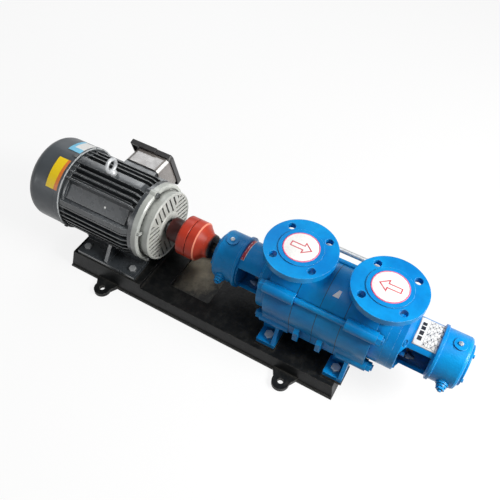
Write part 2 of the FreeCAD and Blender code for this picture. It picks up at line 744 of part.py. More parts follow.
def stator_core():
    """Laminated ring with slots for the windings."""
    x1 = STATOR_X0 + STATOR_LENGTH
    core = ring(STATOR_X0, x1, STATOR_BORE_R, FRAME_BORE_R - FIT)
    slot = axis_block(STATOR_X0 - 1, x1 + 1, -SLOT_WIDTH / 2, SLOT_WIDTH / 2,
                      STATOR_BORE_R + 2, STATOR_BORE_R + 2 + SLOT_DEPTH)
    return core.cut(Part.makeCompound(spread(slot, STATOR_SLOTS)))


def stator_windings():
    """Coil sides in the slots, joined by an end winding at each end."""
    x1 = STATOR_X0 + STATOR_LENGTH
    play = FIT
    low = STATOR_BORE_R + 2 + play
    high = STATOR_BORE_R + 2 + SLOT_DEPTH - play
    bar = axis_block(STATOR_X0 - 4, x1 + 4, -SLOT_WIDTH / 2 + play, SLOT_WIDTH / 2 - play, low, high)
    ends = []
    for a, b in ((STATOR_X0 - WINDING_REACH, STATOR_X0 - 2), (x1 + 2, x1 + WINDING_REACH)):
        end = ring(a, b, STATOR_BORE_R + 3, STATOR_BORE_R + SLOT_DEPTH + 4)
        ends.append(end)
    return fused(ends + spread(bar, STATOR_SLOTS))


def shield_lug(angle, x0, x1):
    """A round lug on an end shield's rim, its root buried in the rim."""
    p = on_radius(x0, SHIELD_BOLT_R, angle)
    return Part.makeCylinder(LUG_R, x1 - x0, p, X)


def shield_bolt_angles():
    """Angles of the end shield's bolts: one on top, one low on each side."""
    return [90.0, -48.0, 228.0]


def shield_slots():
    """Parallel slots in four sectors of the drive end face: middle angle, slot angle and pitch of each."""
    x0 = SHIELD_FACE_X - SHIELD_SLOT
    x1 = SHIELD_FACE_X + 1
    band = ring(x0, x1, SLOT_INNER_R, SLOT_OUTER_R)
    apex = SECTOR_RIB / math.sin(math.pi / 4)
    reach = 2 * SLOT_OUTER_R
    top = AXIS_Z + reach
    corners = [V(x0, 0, AXIS_Z + apex), V(x0, reach - apex, top), V(x0, apex - reach, top)]
    wedge = Part.Face(Part.makePolygon(corners + corners[:1])).extrude(X * (x1 - x0))
    cutters = []
    for middle, lean, pitch in SHIELD_SECTORS:
        most = int(SLOT_OUTER_R / pitch)
        half = SHIELD_SLOT_WIDTH / 2
        bars = [axis_block(x0, x1, i * pitch - half, i * pitch + half, -SLOT_OUTER_R, SLOT_OUTER_R)
                for i in range(-most, most + 1)]
        grid = about_shaft(Part.makeCompound(bars), lean)
        cutters += grid.common(about_shaft(wedge, middle)).common(band).Solids
    return cutters


def drive_endshield():
    """Cast end shield: stepped rim, slotted face and the bearing seat."""
    x0 = FRAME_X1
    rim = SHIELD_RIM_X
    face = SHIELD_FACE_X
    back = face - SHIELD_WALL
    seat_x = face - MOTOR_BEARING_WIDTH - SHIELD_LIP
    step = SHIELD_STEP
    groove_r = SHIELD_R - SHIELD_GROOVE
    groove_x = rim - SHIELD_GROOVE_DEPTH
    drum_r = SHIELD_FACE_R - SHIELD_DRUM_IN
    shell = turned([
        (x0, SHIELD_R), (rim - step, SHIELD_R), (rim, SHIELD_R - step), (rim, groove_r),
        (groove_x, groove_r), (groove_x, drum_r), (face - 8, SHIELD_FACE_R - 1), (face - 3, SHIELD_FACE_R),
        (face - 1, SHIELD_FACE_R - 1), (face, SHIELD_FACE_R - 3), (face, SHIELD_FACE_R - 4),
        (face - 1, SHIELD_FACE_R - 5), (face - 1, 37), (face, 36), (face, MOTOR_JOURNAL_R + 3),
        (face - SHIELD_LIP, MOTOR_JOURNAL_R + 3), (face - SHIELD_LIP, MOTOR_BEARING_R),
        (seat_x, MOTOR_BEARING_R),
        (seat_x, MOTOR_BEARING_R + 8), (back, MOTOR_BEARING_R + 10), (back, SHIELD_FACE_R - 10),
        (rim, FRAME_BORE_R - 4), (x0 - SPIGOT, FRAME_BORE_R - 4), (x0 - SPIGOT, FRAME_BORE_R - FIT),
        (x0, FRAME_BORE_R - FIT)])
    lugs = [shield_lug(a, x0, rim) for a in shield_bolt_angles()]
    half = SHIELD_TAB / 2
    tab = axis_block(groove_x, rim + SHIELD_TAB, 1 - SHIELD_R, 2 - drum_r, -half, half)
    body = fused([shell] + lugs + [about_shaft(tab, SHIELD_TAB_ANGLE)])
    holes = [Part.makeCylinder(LUG_BOLT_R + BOLT_PLAY, 60, on_radius(x0 - 20, SHIELD_BOLT_R, a), X)
             for a in shield_bolt_angles()]
    return body.cut(Part.makeCompound(shield_slots() + holes))


def fan_endshield():
    """Rear end shield: rim that carries the cowl, flat wall and the bearing seat."""
    x1 = FRAME_X0
    wall = x1 - FAN_RIM
    seat = wall - FAN_SEAT_DEPTH
    bearing_end = seat + MOTOR_BEARING_WIDTH + 4
    shell = turned([
        (x1, FAN_RIM_R), (wall, FAN_RIM_R), (wall, 50), (seat - 2, 46), (seat - 2, MOTOR_JOURNAL_R + 2),
        (seat, MOTOR_JOURNAL_R + 2), (seat, MOTOR_BEARING_R), (bearing_end, MOTOR_BEARING_R),
        (bearing_end, MOTOR_BEARING_R + 8), (x1 - 5, MOTOR_BEARING_R + 12), (x1 - 5, FRAME_BORE_R - 8),
        (x1 + SPIGOT, FRAME_BORE_R - 5), (x1 + SPIGOT, FRAME_BORE_R - FIT), (x1, FRAME_BORE_R - FIT)])
    holes = [cowl_screw_hole(angle, COWL_R - 14, THREAD_PLAY) for angle in cowl_screw_angles()]
    return shell.cut(Part.makeCompound(holes))


def frame_lugs():
    """Lugs on the motor frame that take the end shield's bolts."""
    return [shield_lug(a, FRAME_X1 - FRAME_RING, FRAME_X1) for a in shield_bolt_angles()]


def endshield_bolts():
    """Bolts that hold the drive end shield to the frame."""
    pieces = []
    for angle in shield_bolt_angles():
        p = on_radius(SHIELD_RIM_X, SHIELD_BOLT_R, angle)
        pieces.append(bolt(p.x, p.y, p.z, LUG_BOLT_R, SHIELD_RIM + FRAME_RING - 2, -X))
    return pieces


def fan_cover():
    """Pressed steel cowl with a rounded closed end and ventilation slots in that end."""
    outer = cylinder(COWL_X0, FRAME_X0, COWL_R)
    outer = round_circles(outer, COWL_X0, COWL_R, COWL_ROUND)
    band = ring(FRAME_X0 - COWL_BAND_WIDTH, FRAME_X0, COWL_R - 1, COWL_R + COWL_BAND)
    outer = outer.fuse(band).removeSplitter()
    inner = cylinder(COWL_X0 + COWL_WALL, FRAME_X0 + 1, COWL_R - COWL_WALL)
    inner = round_circles(inner, COWL_X0 + COWL_WALL, COWL_R - COWL_WALL, COWL_ROUND - COWL_WALL)
    shell = outer.cut(inner)
    half = COWL_SPOKE / 2
    spoke = axis_block(COWL_X0 - 2, COWL_X0 + COWL_ROUND, -half, half, 0, COWL_SPOKE_REACH)
    spokes = Part.makeCompound(spread(spoke, COWL_SPOKES))
    slots = []
    for radius in COWL_AIR_RINGS:
        opening = ring(COWL_X0 - 1, COWL_X0 + COWL_WALL + 1, radius, radius + COWL_AIR_WIDTH)
        slots += opening.cut(spokes).Solids
    holes = [cowl_screw_hole(angle, COWL_R - 10, BOLT_PLAY) for angle in cowl_screw_angles()]
    return shell.cut(Part.makeCompound(slots + holes))


def cowl_screw_angles():
    """Angles of the screws round the cowl's rim."""
    return [COWL_SCREW_START + i * 360.0 / COWL_SCREWS for i in range(COWL_SCREWS)]


def cowl_screw_hole(angle, from_r, play):
    """A radial hole for one cowl screw, starting at a radius and running outwards."""
    start = on_radius(FRAME_X0 - COWL_SCREW_INSET, from_r, angle)
    return Part.makeCylinder(COWL_SCREW_R + play, 20, start, radial(angle))


def fan_cover_screws():
    """Pan head screws through the cowl's rim into the rear end shield."""
    pieces = []
    for angle in cowl_screw_angles():
        out = radial(angle)
        seat = on_radius(FRAME_X0 - COWL_SCREW_INSET, COWL_R + COWL_BAND, angle)
        head = Part.makeCylinder(COWL_SCREW_HEAD_R, COWL_SCREW_HEAD, seat, out)
        shank = Part.makeCylinder(COWL_SCREW_R, COWL_SCREW_GRIP + 1, seat - out * COWL_SCREW_GRIP, out)
        pieces.append(head.fuse(shank).removeSplitter())
    return pieces


def tilted(shape):
    """A copy leant about the top outer edge of the terminal box, so its foot stands out."""
    copy = shape.copy()
    copy.rotate(V(0, BOX_Y1, AXIS_Z + BOX_TOP), X, LID_TILT)
    return copy


def box_wedge(inset, open_by):
    """The terminal box's body: straight at the back, its front face leaning with the lid."""
    low = BOX_TOP - BOX_DEPTH + inset
    high = BOX_TOP - inset
    slope = math.tan(math.radians(LID_TILT))
    back = BOX_Y0 + inset
    wedge = section(BOX_X0 + inset, BOX_X0 + BOX_LENGTH - inset, [
        (back, AXIS_Z + low), (back, AXIS_Z + high), (BOX_Y1 + open_by + slope * inset, AXIS_Z + high),
        (BOX_Y1 + open_by + slope * (BOX_DEPTH - inset), AXIS_Z + low)])
    corners = edges_where(wedge, lambda e, m: m.y > back + 5 and runs_along(e, Y))
    return wedge.makeFillet(BOX_CORNER - inset, corners)


def terminal_box():
    """Open cast box on the motor's far side, deeper at the bottom than at the top."""
    outer = box_wedge(0.0, 0.0)
    inner = box_wedge(BOX_WALL, 1.0)
    middle_z = AXIS_Z + BOX_TOP - BOX_DEPTH / 2
    floor_z = AXIS_Z + BOX_TOP - BOX_DEPTH
    way = Part.makeCylinder(LEAD_WAY_R, 30, V(BOX_X0 + BOX_LENGTH / 2, BOX_Y0 - 5, middle_z), Y)
    gland_hole = upright(gland_middle_x(), gland_y(), floor_z - 5, floor_z + 10,
                         CABLE_GLAND_R + THREAD_PLAY)
    bosses = [tilted(Part.makeCylinder(LID_BOSS_R, LID_BOSS, V(x, BOX_Y1 - LID_BOSS, z), Y)).common(outer)
              for x, z in lid_screw_places()]
    body = fused([outer.cut(inner)] + bosses)
    tap = LID_SCREW_GRIP + 3
    taps = [tilted(Part.makeCylinder(LID_SCREW_R + THREAD_PLAY, tap + 2, V(x, BOX_Y1 - tap, z), Y))
            for x, z in lid_screw_places()]
    return body.cut(Part.makeCompound([way, gland_hole] + taps))


def gland_middle_x():
    """The cable gland sits off the box's middle, where its cable hangs clear of the base."""
    return BOX_X0 + BOX_LENGTH / 2 + CABLE_GLAND_SHIFT


def gland_y():
    """The cable gland stands out far enough for its cable to pass the base's side."""
    return BASE_WIDTH / 2 + BASE_LIP + CABLE_R + CABLE_CLEAR


def lid_screw_places():
    """Positions of the lid's screws before the lid is leant."""
    inset = LID_SCREW_INSET
    xs = (BOX_X0 + inset, BOX_X0 + BOX_LENGTH - inset)
    zs = (AXIS_Z + BOX_TOP - inset, AXIS_Z + BOX_TOP - BOX_DEPTH + inset)
    return [(x, z) for x in xs for z in zs]


def terminal_box_lid():
    """Leaning lid, wider than the box, with a turned-in lip and a stepped top edge."""
    middle_x = BOX_X0 + BOX_LENGTH / 2 + LID_SHIFT
    middle_z = BOX_TOP - BOX_DEPTH / 2
    x0 = middle_x - LID_LENGTH / 2
    x1 = middle_x + LID_LENGTH / 2
    z0 = middle_z - LID_HEIGHT / 2
    z1 = middle_z + LID_HEIGHT / 2
    plate = axis_block(x0, x1, BOX_Y1 - LID_LIP, BOX_Y1 + LID_THICK, z0, z1)
    corners = edges_where(plate, lambda e, m: runs_along(e, Y) and m.x > middle_x)
    plate = plate.makeFillet(LID_CORNER, corners)
    step = axis_block(middle_x + LID_STEP_AT, x1 + 1, BOX_Y1 - LID_LIP - 1, BOX_Y1 + LID_THICK + 1,
                      z1 - LID_NOTCH, z1 + 1)
    plate = plate.cut(step)
    rim = BOX_WALL - 1
    pocket = axis_block(x0 + rim, x1 - rim, BOX_Y1 - LID_LIP - 1, BOX_Y1, z0 + rim, z1 - LID_NOTCH - rim)
    pocket_corners = edges_where(pocket, lambda e, m: runs_along(e, Y) and m.x > middle_x)
    pocket = pocket.makeFillet(LID_CORNER - rim, pocket_corners)
    holes = [Part.makeCylinder(LID_SCREW_R + BOLT_PLAY, 20, V(x, BOX_Y1 - 5, z), Y)
             for x, z in lid_screw_places()]
    return tilted(plate.cut(Part.makeCompound([pocket] + holes)))


def terminal_lid_screws():
    """Screws that hold the lid."""
    pieces = []
    end_y = BOX_Y1 - LID_SCREW_GRIP
    for x, z in lid_screw_places():
        head = Part.makeCylinder(2 * LID_SCREW_R, LID_SCREW_HEAD, V(x, BOX_Y1 + LID_THICK, z), Y)
        shank = Part.makeCylinder(LID_SCREW_R, LID_THICK + LID_SCREW_GRIP, V(x, end_y, z), Y)
        pieces.append(tilted(head.fuse(shank).removeSplitter()))
    return pieces


def terminal_block():
    """Insulating block with its six studs, on the back of the terminal box."""
    middle_x = BOX_X0 + BOX_LENGTH / 2
    back = BOX_Y0 + BOX_WALL
    middle_z = BOX_TOP - BOX_DEPTH / 2
    low = middle_z + TERMINAL_BLOCK_LOW
    high = low + TERMINAL_BLOCK_HEIGHT
    depth = TERMINAL_BLOCK_DEPTH
    half = TERMINAL_BLOCK / 2
    body = axis_block(middle_x - half, middle_x + half, back, back + depth, low, high)
    studs = []
    for i in (-1, 0, 1):
        for z in (low + TERMINAL_BLOCK_HEIGHT / 4, high - TERMINAL_BLOCK_HEIGHT / 4):
            foot = V(middle_x + i * TERMINAL_STUD_PITCH, back + depth - 1, AXIS_Z + z)
            studs.append(Part.makeCylinder(TERMINAL_STUD_R, TERMINAL_STUD, foot, Y))
    return fused([body] + studs)


def cable_gland():
    """Cable gland under the terminal box."""
    x = gland_middle_x()
    z = AXIS_Z + BOX_TOP - BOX_DEPTH
    nut_z = z - CABLE_GLAND_NUT
    dome_z = nut_z - CABLE_GLAND_DOME
    thread = Part.makeCylinder(CABLE_GLAND_R, BOX_WALL + 3, V(x, gland_y(), z - 0.5), Z)
    nut_part = hexagon(x, gland_y(), nut_z, CABLE_GLAND_R + 3, CABLE_GLAND_NUT, Z)
    dome = Part.makeCone(CABLE_GLAND_R - 2, CABLE_GLAND_R + 2, CABLE_GLAND_DOME, V(x, gland_y(), dome_z), Z)
    body = fused([thread, nut_part, dome])
    return body.cut(upright(x, gland_y(), dome_z - 5, z + 2 * BOX_WALL, CABLE_R))


def eyebolt():
    """Lifting eyebolt with its collar, neck and shank."""
    seat = AXIS_Z + EYE_SEAT
    centre_z = seat + EYE_NECK + EYE_R
    loop = Part.makeTorus(EYE_R, EYE_BAR_R, V(EYE_X, 0, centre_z), X)
    collar = upright(EYE_X, 0, seat, seat + 4, EYE_COLLAR_R - 1)
    neck = Part.makeCone(EYE_COLLAR_R - 3, EYE_BAR_R, EYE_NECK, V(EYE_X, 0, seat + 3), Z)
    shank = upright(EYE_X, 0, AXIS_Z + FRAME_BORE_R + 4, seat + 1, EYE_SHANK_R)
    return fused([loop, collar, neck, shank])


def motor_bearing_places():
    """Where the motor's two bearings start along the shaft."""
    return (SHIELD_FACE_X - SHIELD_LIP - MOTOR_BEARING_WIDTH, FRAME_X0 - FAN_RIM - FAN_SEAT_DEPTH)


def pump_bearing_places():
    """Where the pump's two bearings start along the shaft."""
    return (DRIVE_FACE_X - BEARING_AT - BEARING_WIDTH, FREE_FACE_X + BEARING_AT)


def outer_race(x0, width, outer, inner):
    """An outer bearing ring."""
    return ring(x0, x0 + width, inner, outer - FIT)


def bearing_outer_races():
    """Outer rings of the four bearings."""
    pieces = []
    for x0 in motor_bearing_places():
        pieces.append(outer_race(x0, MOTOR_BEARING_WIDTH, MOTOR_BEARING_R, MOTOR_RACE_OUT_R))
    for x0 in pump_bearing_places():
        pieces.append(outer_race(x0, BEARING_WIDTH, BEARING_R, RACE_OUT_R))
    return pieces


def motor_shaft():
    """Motor shaft with its shoulders and keyway."""
    end = COUPLING_X - SHAFT_END_GAP
    rear = COWL_X0 + SHAFT_REAR
    fan_end = FRAME_X0 - FAN_SHOULDER
    core_start = STATOR_X0 - ROTOR_END
    core_end = STATOR_X0 + STATOR_LENGTH + ROTOR_END
    chamfer = SHAFT_CHAMFER
    shaft = turned([
        (rear, 0), (rear, FAN_SEAT_R), (fan_end, FAN_SEAT_R), (fan_end, MOTOR_JOURNAL_R),
        (core_start, MOTOR_JOURNAL_R), (core_start, ROTOR_SEAT_R), (core_end, ROTOR_SEAT_R),
        (core_end, MOTOR_JOURNAL_R), (SHOULDER_X, MOTOR_JOURNAL_R), (SHOULDER_X, MOTOR_SHAFT_R),
        (end - chamfer, MOTOR_SHAFT_R), (end, MOTOR_SHAFT_R - chamfer), (end, 0)])
    return shaft.cut(motor_key_blank(FIT))


def key_blank(x0, x1, r, play):
    """A flat key lying half in the shaft; play widens it to make the keyway."""
    half = KEY_WIDTH / 2 + play
    return axis_block(x0 - play, x1 + play, -half, half, r - KEY_IN - play, r + KEY_OUT + play)


def motor_key_blank(play):
    """The key under the motor's coupling half; play widens it to make the keyway."""
    end = COUPLING_X - SHAFT_END_GAP
    return key_blank(SHOULDER_X + MOTOR_KEY_START, end - MOTOR_KEY_END, MOTOR_SHAFT_R, play)


def rotor_core():
    """Cage rotor: laminated body with end rings."""
    x0 = STATOR_X0
    x1 = STATOR_X0 + STATOR_LENGTH
    r = STATOR_BORE_R - AIR_GAP
    end_r = r - ROTOR_END_STEP
    return turned([
        (x0 - ROTOR_END, END_RING_R), (x0 - ROTOR_END, end_r), (x0, end_r), (x0, r), (x1, r),
        (x1, end_r), (x1 + ROTOR_END, end_r), (x1 + ROTOR_END, END_RING_R), (x1, END_RING_R),
        (x1, ROTOR_SEAT_R + FIT), (x0, ROTOR_SEAT_R + FIT), (x0, END_RING_R)])


def cooling_fan():
    """Radial fan behind the motor, with flat blades on a hub plate."""
    x1 = FRAME_X0 - FAN_FRONT
    x0 = x1 - FAN_WIDTH
    root = FAN_SEAT_R + FAN_HUB - 1
    hub = ring(x0, x1, FAN_SEAT_R + FIT, FAN_SEAT_R + FAN_HUB)
    plate = ring(x1 - FAN_PLATE, x1, root, FAN_R)
    blade = axis_block(x0, x1 - 2, -FAN_PLATE / 2, FAN_PLATE / 2, root, FAN_R)
    return fused([hub, plate] + spread(blade, FAN_BLADES))


def motor_inner_races():
    """Inner rings of the motor's bearings."""
    return [ring(x0, x0 + MOTOR_BEARING_WIDTH, MOTOR_JOURNAL_R + FIT, MOTOR_RACE_IN_R)
            for x0 in motor_bearing_places()]


def rolling(x0, width, inner, outer, count):
    """Rollers that fill the gap between the rings of a bearing."""
    middle = (inner + outer) / 2
    r = (outer - inner) / 2 - FIT
    roller = cylinder(x0 + 3, x0 + width - 3, r, 0, middle)
    return spread(roller, count)


def motor_rollers():
    """Rolling elements of the motor's bearings."""
    pieces = []
    for x0 in motor_bearing_places():
        pieces += rolling(x0, MOTOR_BEARING_WIDTH, MOTOR_RACE_IN_R, MOTOR_RACE_OUT_R, MOTOR_ROLLERS)
    return pieces


def jaw(x0, x1, middle, width):
    """A sector block between the jaw radii."""
    return ring(x0, x1, JAW_IN_R, JAW_OUT_R).common(jaw_wedge(x0 - 1, x1 + 1, middle, width))


def motor_coupling_half():
    """Coupling half on the motor shaft: hub, rimmed disc and jaws."""
    groove = COUPLING_X - COUPLING_GROOVE / 2
    back = groove - COUPLING_DISC
    plate = back + JAW_PLATE
    bore = MOTOR_SHAFT_R + FIT
    start = back - MOTOR_HUB_LENGTH
    body = turned([
        (SHOULDER_X + 1, bore), (SHOULDER_X + 1, MOTOR_JOURNAL_R + 2), (start, MOTOR_JOURNAL_R + 2),
        (start, HUB_R - HUB_BEVEL), (start + HUB_BEVEL, HUB_R),
        (back, HUB_R), (back, COUPLING_R), (groove - 1, COUPLING_R), (groove, COUPLING_R - 1),
        (groove, JAW_OUT_R + JAW_CLEAR), (plate, JAW_OUT_R + JAW_CLEAR), (plate, bore)])
    pitch = 360.0 / JAWS
    jaws = [jaw(plate - 1, COUPLING_X + JAW_REACH, pitch * i, JAW_ANGLE) for i in range(JAWS)]
    body = fused([body] + jaws)
    return body.cut(key_blank(start - 5, plate + 5, MOTOR_SHAFT_R, FIT))


def pump_coupling_half():
    """Coupling half on the pump shaft: rimmed disc, taper, hub and jaws."""
    groove = COUPLING_X + COUPLING_GROOVE / 2
    back = groove + COUPLING_DISC
    plate = back - JAW_PLATE
    bore = SHAFT_R + FIT
    end = back + TAPER_LENGTH + PUMP_HUB_LENGTH
    body = turned([
        (groove, JAW_OUT_R + JAW_CLEAR), (groove, COUPLING_R - 1), (groove + 1, COUPLING_R),
        (back - 3, COUPLING_R), (back, COUPLING_R - RIM_BEVEL), (back + TAPER_LENGTH, HUB_R + HUB_BEVEL),
        (end - HUB_BEVEL, HUB_R), (end, HUB_R - HUB_BEVEL), (end, bore), (plate, bore),
        (plate, JAW_OUT_R + JAW_CLEAR)])
    pitch = 360.0 / JAWS
    jaws = [jaw(COUPLING_X - JAW_REACH, plate + 1, pitch * (i + 0.5), JAW_ANGLE) for i in range(JAWS)]
    body = fused([body] + jaws)
    return body.cut(key_blank(plate - 5, end + 5, SHAFT_R, FIT))


def coupling_spider():
    """Rubber spider whose arms fill the gaps between the jaws."""
    groove = COUPLING_X
    x0 = groove - COUPLING_DISC + JAW_PLATE + COUPLING_GROOVE
    x1 = groove + COUPLING_DISC - JAW_PLATE - COUPLING_GROOVE
    hub = ring(x0, x1, JAW_IN_R - 4, JAW_IN_R - RUNNING)
    pitch = 180.0 / JAWS
    arm_angle = pitch - JAW_ANGLE - SPIDER_PLAY
    middles = [pitch * (i + 0.5) for i in range(2 * JAWS)]
    arms = [jaw(x0, x1, middle, arm_angle) for middle in middles]
    inner = ring(x0, x1, JAW_IN_R - 1, JAW_IN_R + 1)
    roots = [inner.common(jaw_wedge(x0, x1, middle, arm_angle)) for middle in middles]
    return fused([hub] + roots + arms)


def jaw_wedge(x0, x1, middle, width):
    """A wedge from the shaft line outwards."""
    reach = 2 * JAW_OUT_R
    a = math.radians(middle - width / 2)
    b = math.radians(middle + width / 2)
    return section(x0, x1, [
        (0, AXIS_Z), (-reach * math.cos(a), AXIS_Z + reach * math.sin(a)),
        (-reach * math.cos(b), AXIS_Z + reach * math.sin(b))])


def rod_places():
    """Offsets of the four tie rods from the shaft."""
    return [(i * ROD_Y, j * ROD_Z) for i in (-1, 1) for j in (-1, 1)]


def rod_bosses(x0, x1):
    """Half-round bosses that the tie rods pass through."""
    return [cylinder(x0, x1, ROD_BOSS_R, y, z) for y, z in rod_places()]


def rod_holes(x0, x1):
    """Clearance holes for the tie rods."""
    return [cylinder(x0, x1, ROD_R + BOLT_PLAY, y, z) for y, z in rod_places()]


def nozzle(x, clear):
    """Flared branch with its flange, standing on the casing and clear of the pieces beside it."""
    top = AXIS_Z + FLANGE_HEIGHT
    rim = top - FLANGE_THICK
    root = AXIS_Z + NOZZLE_ROOT
    flare_top = rim - NOZZLE_COLLAR
    flare = Part.makeCone(NOZZLE_R + NOZZLE_FLARE, NOZZLE_R, flare_top - root, V(x, 0, root), Z)
    neck = upright(x, 0, flare_top - 1, rim + 1, NOZZLE_R)
    collar = Part.makeCone(NOZZLE_R, NOZZLE_R + NOZZLE_COLLAR, NOZZLE_COLLAR, V(x, 0, flare_top), Z)
    plate = upright(x, 0, rim, top - RAISED_FACE, FLANGE_R)
    face = upright(x, 0, top - RAISED_FACE - 1, top, RAISED_FACE_R)
    branch = fused([flare, neck, collar, plate, face]).cut(Part.makeCompound(clear))
    return [branch]


def nozzle_holes(x, throat_x, throat_z):
    """The branch's bore, the throat that leads down into the chamber, and the flange holes."""
    top = AXIS_Z + FLANGE_HEIGHT
    shelf = AXIS_Z + CASING_R + 2
    cutters = [upright(x, 0, shelf, top + 1, PORT_R)]
    cutters.append(upright(throat_x, 0, AXIS_Z + throat_z, shelf + 1, THROAT_R))
    for i in range(FLANGE_HOLES):
        turn = math.radians(45 + i * 360.0 / FLANGE_HOLES)
        hole_x = x + FLANGE_PCD / 2 * math.cos(turn)
        hole_y = FLANGE_PCD / 2 * math.sin(turn)
        cutters.append(upright(hole_x, hole_y, top - FLANGE_THICK - 1, top + 1, FLANGE_HOLE_R))
    return cutters


def casing_feet(x, wall_x0, wall_x1):
    """The two feet of an end casing; web and rib stay between the casing's own faces."""
    foot_z = DECK_HEIGHT + PAD_HEIGHT
    x0 = x - PUMP_FOOT_LENGTH / 2
    x1 = x + PUMP_FOOT_LENGTH / 2
    web_x0 = max(x0, wall_x0)
    web_x1 = min(x1, wall_x1)
    rod_z = AXIS_Z - ROD_Z
    rib = [(PUMP_FOOT_INNER, foot_z), (PUMP_FOOT_EDGE, foot_z), (PUMP_FOOT_EDGE, foot_z + PUMP_FOOT_THICK),
           (FLANK_Y, rod_z), (FLANK_Y / 2, rod_z)]
    web = [(PUMP_FOOT_INNER, foot_z), (PUMP_FOOT_INNER + 10, foot_z), (FLANK_Y - 12, rod_z),
           (FLANK_Y / 2, rod_z)]
    pieces = []
    for side in (-1, 1):
        y0, y1 = sorted((side * PUMP_FOOT_INNER, side * PUMP_FOOT_EDGE))
        pieces.append(block(x0, x1, y0, y1, foot_z, foot_z + PUMP_FOOT_THICK))
        pieces.append(section(web_x1 - FOOT_RIB, web_x1, [(side * y, z) for y, z in rib]))
        pieces.append(section(web_x0, web_x1, [(side * y, z) for y, z in web]))
    return pieces


def foot_holes(x):
    """Bolt holes of one casing's feet, with room for the heads."""
    foot_z = DECK_HEIGHT + PAD_HEIGHT
    top = foot_z + PUMP_FOOT_THICK
    cutters = []
    for side in (-1, 1):
        y = side * PUMP_BOLT_Y
        cutters.append(upright(x, y, foot_z - 1, top + 40, PUMP_BOLT_R + BOLT_PLAY))
        cutters.append(upright(x, y, top, top + 14, 2.0 * PUMP_BOLT_R))
    return cutters


def casing_drum(x0, x1):
    """Round casing body with flat flanks that drop to the lower rods, and a tunnel round each."""
    drum = cylinder(x0, x1, CASING_R)
    flanks = axis_block(x0, x1, -FLANK_Y, FLANK_Y, -ROD_Z, 0)
    tunnels = [cylinder(x0, x1, TUNNEL_R, side * ROD_Y, -ROD_Z) for side in (-1, 1)]
    return [drum, flanks] + tunnels


def spigot_recess(face_x):
    """The step in a casing's face that the next casing's spigot sits in."""
    return ring(face_x - SPIGOT, face_x + 1, CASING_BORE_R - 2, SPIGOT_R + FIT)


def spigot(x0):
    """The ring that centres a casing in the one before it."""
    return ring(x0 - SPIGOT + RUNNING, x0 + 1, CASING_BORE_R, SPIGOT_R)


def side_lug(x0, side):
    """A tapped lug low on a stage casing's flank."""
    inner = FLANK_Y - 3
    outer = FLANK_Y + SIDE_LUG
    top = -SIDE_LUG_TOP
    outline = [(inner, top), (FLANK_Y + 1, top), (outer, top - SIDE_LUG), (outer, -SIDE_LUG_END),
               (inner, -SIDE_LUG_END)]
    return section(x0, x0 + SIDE_LUG, [(side * y, AXIS_Z + z) for y, z in outline])


def suction_casing():
    """Inlet casing: chamber round the shaft, branch, feet, rod bosses and stuffing box."""
    x0 = DRIVE_FACE_X
    x1 = STAGE_X
    boss_x = x0 + ROD_SEAT
    mouth = x0 - STUFFING_OUT
    neck = cylinder(x0, x1, END_R)
    box = cylinder(mouth, x0 + 2, STUFFING_R)
    clear = [cylinder(x1, x1 + STAGE_LENGTH, CASING_R + RUNNING), cylinder(x0 - 40, x0, END_R + RUNNING)]
    body = [neck, box] + casing_drum(x0 + DRUM_AT, x1) + rod_bosses(boss_x, x1) + gland_lugs(mouth, -1)
    body = fused(body + nozzle(SUCTION_PORT_X, clear) + casing_feet(PUMP_BOLT_X0, boss_x, x1))
    chamber_r = CASING_BORE_R - CHAMBER_EDGE
    chamber = turned([
        (x0 + CHAMBER_AT, SLEEVE_R + RUNNING), (x0 + CHAMBER_AT, chamber_r),
        (x1 - DIAPHRAGM - CHAMBER_EDGE, chamber_r), (x1 - DIAPHRAGM, chamber_r - 10),
        (x1 - DIAPHRAGM, WEAR_RING_R), (x1 + 1, WEAR_RING_R),
        (x1 + 1, SLEEVE_R + RUNNING)])
    packing_bore = ring(mouth - 1, x0 + BOX_DEEP, SLEEVE_R, BOX_BORE_R)
    way = cylinder(mouth - 2, x1 + 1, SLEEVE_R + RUNNING)
    cutters = [chamber, packing_bore, way, spigot_recess(x1)] + rod_holes(x0, x1 + 1)
    cutters += nozzle_holes(SUCTION_PORT_X, SUCTION_PORT_X - SUCTION_THROAT_SHIFT, 45)
    cutters += foot_holes(PUMP_BOLT_X0)
    cutters += gland_taps(mouth, -1) + union_holes(PIPE_X0) + bracket_taps(x0, 1)
    return body.cut(Part.makeCompound(cutters))


def stage_casing(index):
    """One middle casing: shell, spigot, diaphragm and a tapped lug on each flank."""
    x0 = STAGE_X + index * STAGE_LENGTH
    x1 = x0 + STAGE_LENGTH
    lugs = [side_lug(x0 + SIDE_LUG_AT, side) for side in (-1, 1)]
    body = fused(casing_drum(x0, x1) + [spigot(x0)] + lugs)
    front = cylinder(x0 - SPIGOT - 1, x1 - DIAPHRAGM, CASING_BORE_R)
    eye = cylinder(x0, x1 + 1, WEAR_RING_R)
    return body.cut(Part.makeCompound([front, eye, spigot_recess(x1)] + rod_holes(x0, x1 + 1)))


